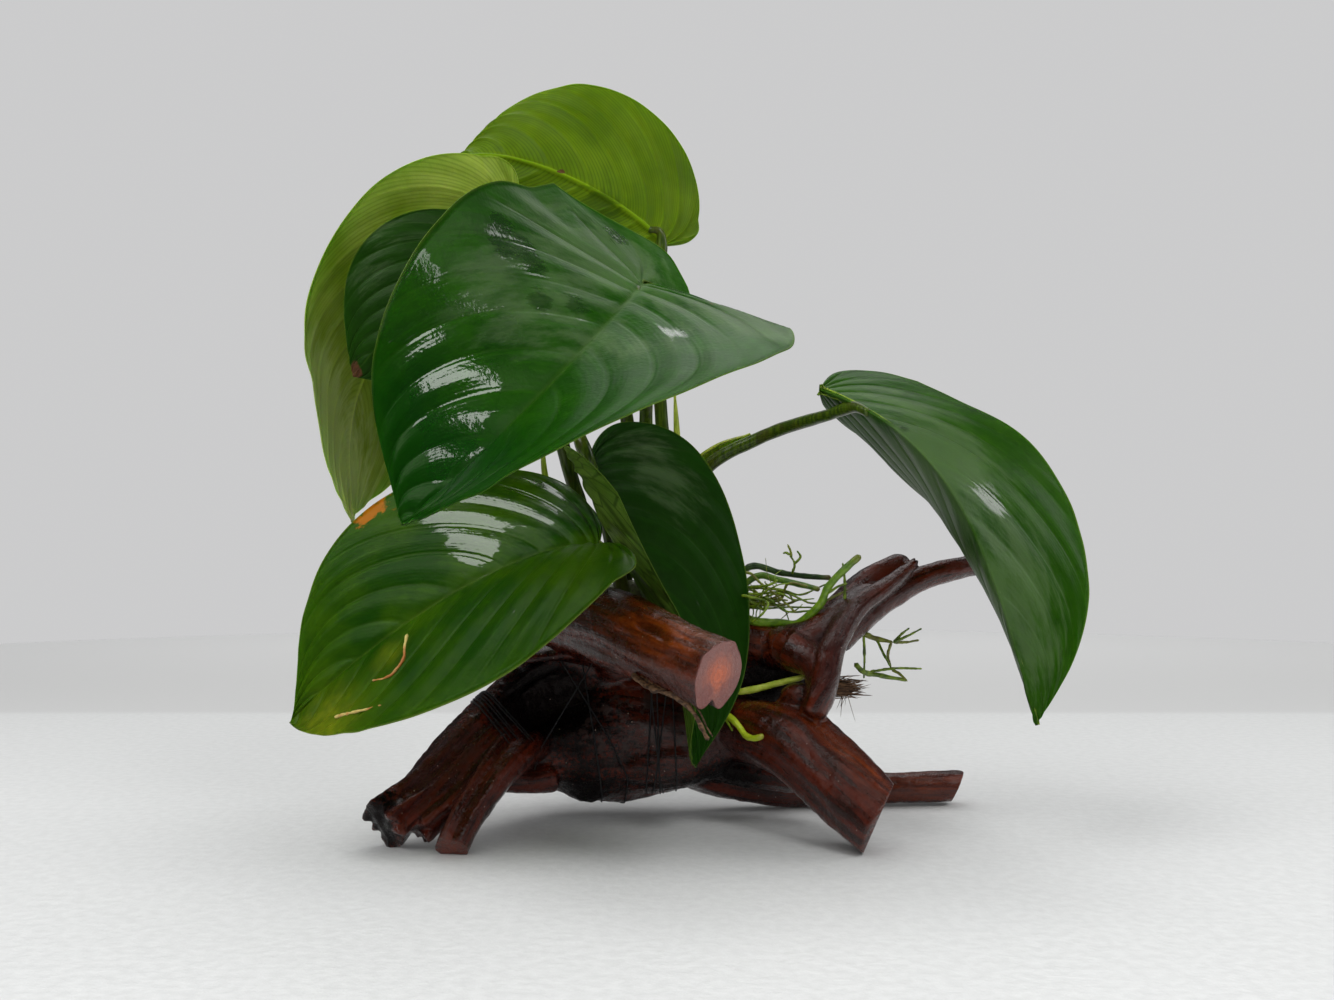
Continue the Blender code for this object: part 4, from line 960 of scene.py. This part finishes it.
# For each leaf: its slot, its colours, and its spots as (kind, half, angle, share, size, amount). The sheen spots are
# painted sheen, and the shade and deeper green spots are painted shade.
LEAF_LOOKS = {
    "leaf_front_broad": ("leaf_dark", DARK_GREEN,
                         (("shade", 1, 85, 0.77, 3.2, 1.2), ("shade", 1, 84, 0.62, 3.4, 1.1),
                          ("shade", 1, 90, 0.69, 3.6, 1.2), ("shade", 1, 86, 0.52, 3.6, 1.1),
                          ("shade", 1, 96, 0.34, 3.4, 1.1), ("shade", 1, 90, 0.18, 3.4, 1.0),
                          ("shade", 0, 90, 0.35, 4.0, 0.6), ("shade", 1, 24, 0.9, 3.6, 1.0),
                          ("painted_sheen", 1, 62, 0.60, 22, 0.9), ("painted_sheen", 1, 47, 0.29, 14, 0.8),
                          ("painted_sheen", 1, 97, 0.3, 16, 0.8), ("painted_sheen", 1, 105, 0.6, 14, 0.6),
                          ("painted_sheen", 0, 67, 0.5, 16, 0.9), ("painted_sheen", 0, 72, 0.95, 14, 1.1),
                          ("painted_sheen", 0, 100, 0.25, 10, 0.8), ("painted_sheen", 1, 15, 0.9, 10, 0.7),
                          ("tan", 0, 57, 0.51, 0.5, 1.3), ("tan", 0, 57, 0.67, 0.5, 1.3),
                          ("deep_shade", 0, 142, 0.5, 20, 0.85), ("deep_shade", 1, 152, 0.6, 18, 0.85),
                          ("deep_shade", 1, 135, 0.85, 10, 0.5),
                          ("wet", 1, 131, 0.52, 7.5, 1.3), ("wet", 1, 126, 0.34, 6.5, 1.2),
                          ("wet", 1, 141, 0.28, 5.0, 1.1), ("wet", 1, 149, 0.2, 2.5, 1.0),
                          ("wet", 1, 118, 0.62, 8.0, 0.8), ("wet", 1, 110, 0.4, 8.0, 0.6),
                          ("wet", 1, 112, 0.92, 5.5, 1.2), ("wet", 1, 121, 0.93, 5.5, 1.0))),
    "leaf_back_upper": ("leaf_bright", dict(upper=(0.03, 0.08, 0.002), edge=(0.05, 0.11, 0.003),
                                            lower=(0.055, 0.105, 0.0002), lower_pale=(0.095, 0.16, 0.002),
                                            glow=0.8, ribs=0.03, fine_lines=0.45),
                        (("tan", 0, 116, 0.02, 1.2, 1.3), ("shade", 1, 94, 0.1, 7.0, 0.9))),
    "leaf_back_left": ("leaf_bright", dict(upper=(0.03, 0.08, 0.003), edge=(0.05, 0.11, 0.005),
                                           lower=(0.105, 0.165, 0.006), lower_pale=(0.20, 0.26, 0.035),
                                           glow=0.8, ribs=0.08, fine_lines=0.3, sheen_colour=(0.34, 0.40, 0.15),
                                           sheen_strength=0.55),
                       (("painted_sheen", 0, 140, 0.6, 20, 1.0), ("painted_sheen", 0, 160, 0.5, 18, 1.3),
                        ("painted_sheen", 0, 120, 0.8, 16, 0.7))),
    "leaf_dark_behind": ("leaf_dark", dict(DARK_GREEN, upper=(0.004, 0.020, 0.001), edge=(0.006, 0.030, 0.001)),
                         (("tan", 1, 168, 0.5, 2.2, 1.3), ("painted_sheen", 1, 105, 0.95, 7.0, 0.7),
                          ("painted_sheen", 1, 123, 0.8, 7.0, 0.5))),
    "leaf_low_left": ("leaf_grass", dict(upper=(0.005, 0.036, 0.0001), edge=(0.026, 0.072, 0.0002),
                                         lower=(0.08, 0.13, 0.01), lower_pale=(0.13, 0.18, 0.03), glow=0.4),
                      (("patch", 1, 99, 0.97, 3.4, 1.2), ("patch", 1, 105, 0.93, 2.6, 1.0),
                       ("wet", 1, 88, 0.5, 9, 1.2), ("wet", 1, 64, 0.6, 8, 1.2), ("wet", 1, 92, 0.2, 5, 0.9),
                       ("painted_sheen", 1, 85, 0.4, 16, 0.7), ("painted_sheen", 1, 58, 0.45, 10, 0.7),
                       ("deep_shade", 0, 105, 0.5, 14, 0.5), ("yellow", 0, 152, 0.8, 9.0, 0.9),
                       ("yellow", 0, 128, 0.3, 4.0, 0.6))),
    "leaf_hanging_centre": ("leaf_dark", dict(DARK_GREEN, upper=(0.005, 0.026, 0.0014), edge=(0.007, 0.036, 0.0018),
                                              dull=0.42, net=0.7),
                            (("tan", 1, 97, 0.97, 3.0, 0.5), ("painted_sheen", 0, 72, 0.65, 9, 0.9),
                             ("painted_sheen", 0, 98, 0.68, 9, 0.7), ("painted_sheen", 0, 89, 0.56, 7, 0.6))),
    "leaf_right_arching": ("leaf_dark", dict(DARK_GREEN, upper=(0.007, 0.038, 0.0004), edge=(0.015, 0.058, 0.0008),
                                             gloss=0.26),
                           (("shade", 0, 117, 0.32, 5.0, 0.9), ("shade", 0, 97, 0.05, 1.4, 1.0),
                            ("painted_sheen", 0, 75, 0.4, 16, 0.9), ("painted_sheen", 0, 105, 0.15, 12, 0.9),
                            ("painted_sheen", 1, 100, 0.5, 18, 1.6), ("painted_sheen", 1, 130, 0.5, 16, 1.6),
                            ("painted_sheen", 0, 150, 0.3, 12, 0.7))),
}
blades = {name: Blade(form) for name, form in FORMS.items()}
for seed, (name, (slot, look, marks)) in enumerate(LEAF_LOOKS.items()):
    points, faces, uv, values = blade_sheet(blades[name], seed + 1, marks)
    add_piece(name.replace("leaf_", "blade_"), points, faces, leaf_finish(name.replace("leaf_", "skin_"), **look),
              slot, [name], uv, **values)

# Scars on the low left leaf: half, angle and share of each point along them
SCARS = {
    "long": ((0, 123, 0.19), (0, 123, 0.35), (0, 123, 0.46), (0, 126, 0.54), (0, 129, 0.54), (0, 133, 0.48)),
    "red": ((0, 147, 0.72), (0, 141, 0.75), (0, 136, 0.78), (0, 129, 0.81)),
}


def add_scars():
    blade = blades["leaf_low_left"]
    shapes = []
    for seed, places in enumerate(SCARS.values()):
        line = []
        for half, angle, share in places:
            spot = blade.spot(half, np.array(radians(angle)), np.array(share))[0]
            near = blade.spot(half, np.array(radians(angle + 1)), np.array(share))[0]
            out = blade.spot(half, np.array(radians(angle)), np.array(share + 0.02))[0]
            face = unit(np.cross(near - spot, out - spot))
            line.append(spot + face * 0.5 * np.sign(face @ blade.station(blade.length / 2)[3]))
        shapes.append(strand(line, 0.42, 0.5, 8, 0.5, seed, 0.4))
    points, faces, _ = joined(shapes)
    scar = Finish("leaf_scar")
    colour = scar.mix(scar.step(scar.cloud(scar.place(), 0.25, 3.0), 0.4, 0.6), (0.35, 0.12, 0.02), (0.5, 0.4, 0.12))
    add_piece("leaf_scars", points, faces, scar.finish(Base_Color=colour, Roughness=0.6), "leaf_grass")


add_scars()

# Leaf stalks
# One round, fleshy stalk for each blade, olive green and wet. It rises from the rhizome, narrows a
# little, and runs into the midrib on the blade's underside.
STALK_RADIUS = 1.8
STALK_WAYS = {
    "front_broad": ((-11, 34, 62), (-11.5, 36, 90), (-11.5, 31, 112), (-11.5, 17, 131)),
    "back_upper": ((-5, 38.5, 62), (-5.5, 42, 88), (-7.5, 44, 114), (-9, 44, 140)),
    "dark_behind": ((-17.5, 35.5, 62), (-16.5, 35, 88), (-17, 33, 112), (-24, 28, 131)),
    "back_left": ((-22.5, 33, 62), (-28, 32, 82), (-34, 31, 102), (-40, 29, 130)),
    "low_left": ((-24, 25.5, 60.5), (-24, 19, 69), (-22.5, 9, 73)),
    "hanging_centre": ((-17.5, 28, 62), (-22, 26, 82), (-27, 21, 98), (-29, 13, 105), (-28, 6, 103.5)),
    "right_arching": ((1, 37, 61), (0, 41, 86), (6, 41, 98), (20, 36, 105.5), (29, 29, 108.5),
                       (37, 19, 110.3)),
}
# The last points of each stalk, counted from its blade: how far along the midrib, above and aside
STALK_TOPS = {"back_upper": ((1.5, -1.2, 0), (6, -0.4, 0)), "hanging_centre": ((-2.6, 0, 0), (3, -0.5, 0)),
              "right_arching": ((12.0, -1.6, 0), (18, -0.5, 0))}
UNDER_BLADE = ((0, -2.9, 0), (5, -0.8, 0))


def stalk_points(name):
    blade = blades["leaf_" + name]
    points = list(STALK_WAYS[name])
    for distance, above, aside in STALK_TOPS.get(name, UNDER_BLADE):
        centre, along, side, upper = blade.station(max(distance, 0))
        points.append(centre + along * min(distance, 0) + upper * above + side * aside)
    return np.array(points)


def stalk_finish():
    stalk = Finish("leaf_stalk")
    streak = stalk.cloud(stalk.place((1, 1, 0.08)), 1.3, 4.0)
    blotch = stalk.cloud(stalk.place(), 0.16, 3.0)
    colour = stalk.mix(stalk.step(streak, 0.35, 0.68), (0.016, 0.034, 0.002), (0.055, 0.095, 0.004))
    colour = stalk.mix(stalk.step(blotch, 0.5, 0.7, 0.0, 0.5), colour, (0.05, 0.045, 0.006))
    colour = stalk.mix(stalk.step(stalk.field("height"), 0.3, 0.0, 0.0, 0.5), colour, (0.10, 0.095, 0.02))
    return stalk.finish(Base_Color=colour, Roughness=0.32, Specular_IOR_Level=0.15, Normal=stalk.bump(streak, 0.00012), Coat_Weight=0.3,
                        Coat_Roughness=0.12, Subsurface_Weight=0.2, Subsurface_Radius=(0.6, 1.0, 0.25),
                        Subsurface_Scale=0.001)


def add_stalks():
    finish = stalk_finish()
    for seed, name in enumerate(STALK_WAYS):
        run, line = through(stalk_points(name), 0.6)
        share = run / run[-1]
        radii = STALK_RADIUS * (1.15 - 0.25 * share - 0.3 * share ** 8)
        swollen = 0.3 * np.exp(-((run[-1] - run - 8) / 4) ** 2)
        points, faces = tube(line, radii + swollen, 24, 0.06, seed)
        height = np.append(np.repeat(share, 24), [0, 1])
        add_piece("petiole_" + name, points, faces, finish, "stem_olive", ["stalk_" + name], height=height)


add_stalks()

# Leaf sheaths
# The thin, pale leaf that wrapped each young stalk, now a pointed strip that hugs its side.
SHEATHS = {
    "sheath_right": ((2, 42.5, 62), (-0.5, 46, 82), (2, 46, 96), (8, 43.5, 102.4), (17.5, 38.8, 106.4)),
    "sheath_back": ((-3, 33.5, 62), (-2.5, 37, 90), (-3, 39.5, 106), (-3.6, 40.5, 118)),
    "sheath_left": ((-27, 31, 61), (-33, 29.5, 78), (-38, 27, 92), (-39.5, 26, 104)),
}
SHEATH_WALL = 0.3
SHEATH_BEND = 1.9


def sheath_shape(points, towards, broad):
    """A tapering strip, bent across like a gutter whose open side faces its stalk."""
    run, line = through(points, 0.5)
    share = run / run[-1]
    along = unit(np.gradient(line, axis=0))
    inward = towards(line) - line
    inward = unit(inward - (inward * along).sum(axis=1)[:, None] * along)
    side = np.cross(along, inward)
    wide = broad * np.clip(1 - share, 0.03, 1) ** 0.45
    turns = np.linspace(-SHEATH_BEND, SHEATH_BEND, 15)
    skins = []
    for radius in (1.6, 1.6 - SHEATH_WALL):
        size = (radius * wide)[:, None, None]
        skins.append(line[:, None] + size * (side[:, None] * np.sin(turns)[None, :, None]
                                             - inward[:, None] * np.cos(turns)[None, :, None]))
    ring = np.concatenate([skins[0], skins[1][:, ::-1]], axis=1)
    flat = np.vstack([ring.reshape(-1, 3), ring[0].mean(axis=0), ring[-1].mean(axis=0)])
    return flat, tube_faces(len(run), ring.shape[1])


def sheath_finish():
    sheath = Finish("leaf_sheath")
    streak = sheath.cloud(sheath.place((1, 1, 0.1)), 1.5, 4.0)
    colour = sheath.mix(sheath.step(streak, 0.35, 0.65), (0.14, 0.18, 0.008), (0.30, 0.34, 0.03))
    return sheath.finish(Base_Color=colour, Roughness=0.4, Normal=sheath.bump(streak, 0.0001),
                         Subsurface_Weight=0.5, Subsurface_Radius=(0.7, 1.0, 0.3), Subsurface_Scale=0.001)


def nearest_on(line):
    return lambda points: line[np.linalg.norm(points[:, None] - line[None], axis=2).argmin(axis=1)]


pale_sheath = sheath_finish()
for name, stalk, broad in (("sheath_right", "right_arching", 2.1), ("sheath_back", "back_upper", 1.25),
                           ("sheath_left", "back_left", 1.25)):
    points, faces = sheath_shape(SHEATHS[name], nearest_on(through(stalk_points(stalk), 0.6)[1]), broad)
    add_piece(name.replace("sheath_", "spathe_"), points, faces, pale_sheath, "sheath_pale", [name])

# Roots and rootlets
# Bright green water roots as thick as a shoelace, feeling their way over the wood, and a tangle
# of thinner branching ones. They grow out of the rhizome and grip the wood where they touch it.
ROOT_RADIUS = 0.95
ROOTS = {
    "root_bright": ((18, 43, 54.5), (25.5, 40, 54), (30, 36, 54), (33, 32.5, 56.5), (36, 30, 60),
                    (38, 29, 64.5), (42, 28, 69), (46.5, 27, 73)),
    "root_dark": ((17.5, 44, 69.5), (26, 44, 68), (33, 44, 67), (40.5, 43, 66.5)),
    "root_upper": ((19.5, 42, 67), (25.5, 41, 66), (32.5, 38, 64.5), (36.5, 36, 63.5)),
    "root_under": ((16, 37, 35.5), (23.5, 35, 37.5), (31.5, 31, 40)),
    "root_low": ((10.5, 30.2, 29.5), (13, 25.8, 28), (15, 22.8, 25.5), (17, 20, 25), (19.5, 17.8, 26)),
}
ROOT_COLOURS = {"root_bright": ((0.075, 0.17, 0.004), (0.17, 0.30, 0.012)),
                "root_dark": ((0.008, 0.030, 0.002), (0.022, 0.06, 0.003)),
                "root_upper": ((0.04, 0.11, 0.003), (0.10, 0.19, 0.006)),
                "root_under": ((0.38, 0.48, 0.03), (0.52, 0.60, 0.08)),
                "root_low": ((0.36, 0.47, 0.01), (0.48, 0.58, 0.03))}
# Where the roots that are seen end-on or from behind start, so that none floats
ROOT_STARTS = {"root_bright": (12, 45, 58), "root_dark": (11, 44, 61), "root_upper": (12, 43, 61),
               "root_under": (9, 39, 35), "root_low": (6, 34, 30)}
ROOTLETS = (
    ((48.0, 36.0, 51.5), (52.0, 36.0, 50.0), (56.5, 35.0, 49.0)), ((56.5, 35.0, 49.0), (59.0, 35.0, 51.5), (61.0, 35.0, 53.0)),
    ((56.5, 35.0, 49.0), (60.5, 34.0, 51.0), (64.0, 33.0, 53.0)), ((56.5, 35.0, 49.0), (60.5, 36.0, 49.0), (64.0, 37.0, 49.5)),
    ((48.5, 36.0, 51.0), (48.7, 36.0, 45.0), (48.5, 36.0, 39.0)), ((52.0, 36.0, 50.0), (53.5, 35.0, 46.5), (55.5, 34.0, 42.5)),
    ((56.0, 35.0, 49.0), (55.0, 35.0, 45.5), (56.0, 35.0, 41.5)), ((45.5, 33.0, 43.5), (47.5, 33.0, 41.5), (50.0, 34.0, 40.5),
                                                                 (55.5, 35.0, 39.5), (60.5, 36.0, 38.5)),
    ((50.0, 35.0, 41.0), (57.0, 34.0, 42.0), (64.0, 33.0, 42.0)), ((56.0, 35.0, 41.5), (58.0, 34.0, 40.5), (60.0, 33.0, 38.5)),
    ((29.5, 43.5, 67.5), (30.0, 41.0, 70.5), (28.5, 40.0, 73.0)), ((28.5, 40.0, 73.0), (27.5, 39.5, 73.6), (26.5, 39.0, 73.5)),
    ((29.0, 40.3, 72.2), (28.8, 40.5, 74.0), (28.0, 41.0, 76.0)), ((30.0, 41.0, 70.5), (31.5, 40.0, 72.5), (30.5, 40.0, 74.2)),
    ((42.5, 30.0, 61.0), (42.5, 30.0, 66.5), (42.0, 30.0, 71.0)), ((13.0, 41.0, 67.0), (17.0, 40.0, 68.0), (20.5, 38.0, 65.0),
                                                                 (25.0, 36.0, 61.5), (30.0, 36.0, 57.0)),
    ((13.0, 38.0, 62.0), (17.0, 36.0, 61.5), (22.0, 35.0, 60.0), (20.5, 34.0, 57.0), (17.5, 35.5, 54.5)),
    ((36.0, 30.0, 61.5), (40.5, 29.0, 64.5), (43.0, 28.0, 65.5)), ((35.0, 31.0, 59.5), (40.0, 30.0, 62.0), (43.5, 30.0, 63.8)),
    ((7.0, 36.0, 29.5), (10.0, 30.0, 28.5), (11.5, 21.5, 26.8)),
)
TANGLE_ROOTS = 16


def tangle(rng):
    """Thin roots that wander from the rhizome's end over the wood towards the fork."""
    shapes = []
    for number in range(TANGLE_ROOTS):
        start = np.array((rng.uniform(11, 15), rng.uniform(41, 46), rng.uniform(57, 65)))
        end = np.array((rng.uniform(24, 45), rng.uniform(31, 43), rng.uniform(57, 67)))
        steps = [start + (end - start) * share + rng.normal(0, 1.1, 3) for share in (0.25, 0.5, 0.75)]
        line = [start, *steps, end]
        shapes.append(strand(line, rng.uniform(0.3, 0.62), 0.5, 7, 0.25, number))
        for _ in range(rng.integers(1, 4)):
            spot = steps[rng.integers(0, 3)]
            tip = spot + rng.normal(0, 3.0, 3) + (0, 0, -1)
            middle = (spot + tip) / 2 + rng.normal(0, 0.8, 3)
            shapes.append(strand((spot, middle, tip), rng.uniform(0.14, 0.26), 0.5, 6, 0.2, number))
    return shapes


def root_finish(name, dull, bright):
    root = Finish(name)
    place = root.place()
    blotch = root.cloud(place, 0.45, 3.0)
    colour = root.mix(root.step(blotch, 0.35, 0.65), dull, bright)
    colour = root.mix(root.step(root.field("tipness"), 0.9, 1.0, 0.0, 0.55), colour, (0.16, 0.10, 0.03))
    grit = root.cloud(place, 2.4, 3.0)
    return root.finish(Base_Color=colour, Roughness=0.38, Normal=root.bump(grit, 0.00018), Coat_Weight=0.3,
                       Coat_Roughness=0.15, Subsurface_Weight=0.3, Subsurface_Radius=(0.6, 1.0, 0.25),
                       Subsurface_Scale=0.0008)


def add_roots():
    rng = np.random.default_rng(11)
    for seed, (name, points) in enumerate(ROOTS.items()):
        line = (ROOT_STARTS[name], *points)
        radius = ROOT_RADIUS * (1.3 if name == "root_bright" else 1.05)
        shape, faces = strand(line, radius, 0.75, 16, 0.14, seed, 0.35)
        tipness = np.append(np.repeat(np.linspace(0, 1, (len(shape) - 2) // 16), 16), [0, 1])
        add_piece(name.replace("root_", "waterroot_"), shape, faces, root_finish(name, *ROOT_COLOURS[name]), "root_green", [name], tipness=tipness)
    shapes = [strand(line, 0.8 if number in (0, 7) else 0.42, 0.6, 8, 0.3, number) for number, line in enumerate(ROOTLETS)]
    points, faces, owner = joined(shapes + tangle(rng))
    add_piece("rootlets", points, faces, root_finish("rootlet", (0.055, 0.10, 0.003), (0.19, 0.28, 0.010)), "root_green",
              tipness=np.where(owner % 3 == 0, 0.97, 0.0))


add_roots()

# Floor, camera and light
# A plain pale floor under a wide soft light overhead, a softer one from the side, and a dim room.
CAMERA_PLACE = np.array((-5.75, -334.0, 78.0))
FOCAL_PIXELS = 1338.0
IMAGE_WIDTH = 1334.0
RISE_PIXELS = 37.0


def add_floor():
    rim = [(820 * np.cos(t), 820 * np.sin(t), 0.0) for t in np.linspace(0, 2 * pi, 96, endpoint=False)]
    mesh = bpy.data.meshes.new("floor")
    mesh.from_pydata([[c * MM for c in point] for point in rim], [], [list(range(len(rim)))])
    floor = Finish("pale_floor")
    grit = floor.cloud(floor.place(), 0.35, 4.0)
    back = floor.node("SeparateXYZ", {0: floor.place()}).outputs[1]
    # Past the plant the floor takes the wall's pale colour, growing paler further back to make up for the light falling
    # off there: painted light
    far = floor.mix(floor.step(back, 270.0, 800.0), (0.56, 0.56, 0.555), (0.76, 0.76, 0.755))
    near = floor.mix(floor.step(grit, 0.3, 0.7), (0.60, 0.605, 0.60), (0.65, 0.655, 0.65))
    colour = floor.mix(floor.step(back, 262.0, 276.0), near, far)
    mesh.materials.append(floor.finish(Base_Color=colour, Roughness=0.42, Normal=floor.bump(grit, 0.0002)))
    sheet = bpy.data.objects.new("floor", mesh)
    bpy.context.collection.objects.link(sheet)


def add_camera():
    lens = bpy.data.cameras.new("camera")
    lens.sensor_width = 36.0
    lens.lens = 36.0 * FOCAL_PIXELS / IMAGE_WIDTH
    lens.clip_start = 0.01
    camera = bpy.data.objects.new("camera", lens)
    camera.location = (CAMERA_PLACE - MIDDLE) * MM
    camera.rotation_euler = (pi / 2 + atan(RISE_PIXELS / FOCAL_PIXELS), 0.0, 0.0)
    bpy.context.collection.objects.link(camera)
    bpy.context.scene.camera = camera


def add_softbox(name, azimuth, elevation, distance, size, power, glossy=True):
    """A square soft light that faces the plant. Azimuth 0 is the camera's side, 90 the right."""
    lamp = bpy.data.lights.new(name, "AREA")
    lamp.shape = "RECTANGLE"
    lamp.size, lamp.size_y = size
    lamp.energy = power
    light = bpy.data.objects.new(name, lamp)
    a, e = radians(azimuth), radians(elevation)
    away = Vector((np.sin(a) * np.cos(e), -np.cos(a) * np.cos(e), np.sin(e)))
    light.location = away * distance + Vector((0, 0, 0.09))
    light.rotation_mode = "QUATERNION"
    light.rotation_quaternion = away.to_track_quat("Z", "Y")
    light.visible_glossy = glossy
    bpy.context.collection.objects.link(light)


def add_room():
    """A plain pale room: bright behind the plant and to matt surfaces, and dim in reflections."""
    world = bpy.data.worlds.new("room")
    bpy.context.scene.world = world
    world.use_nodes = True
    tree = world.node_tree
    ray = tree.nodes.new("ShaderNodeLightPath")
    shown = tree.nodes["Background"].outputs[0]
    tree.nodes["Background"].inputs[0].default_value = (0.05, 0.052, 0.055, 1.0)
    for kind, colour in (("Is Diffuse Ray", (0.47, 0.475, 0.48, 1.0)), ("Is Camera Ray", (0.60, 0.60, 0.605, 1.0))):
        plain = tree.nodes.new("ShaderNodeBackground")
        plain.inputs[0].default_value = colour
        mixed = tree.nodes.new("ShaderNodeMixShader")
        tree.links.new(ray.outputs[kind], mixed.inputs[0])
        tree.links.new(shown, mixed.inputs[1])
        tree.links.new(plain.outputs[0], mixed.inputs[2])
        shown = mixed.outputs[0]
    tree.links.new(shown, tree.nodes["World Output"].inputs[0])


add_floor()
add_camera()
add_room()
add_softbox("overhead", 150, 84, 1.1, (1.6, 1.6), 5.6, glossy=False)
add_softbox("front_fill", 4, 12, 1.2, (1.4, 0.5), 3.2, glossy=False)
add_softbox("rear_panel", 178, 48, 1.1, (0.8, 0.5), 2.0)
add_softbox("left_window", -52, 52, 1.0, (0.62, 0.62), 6.4)
add_softbox("right_window", 40, 50, 1.0, (0.36, 0.36), 2.8)
add_softbox("side_panel", 100, 26, 1.0, (0.4, 0.4), 1.6)
bpy.context.scene.view_settings.view_transform = "Standard"
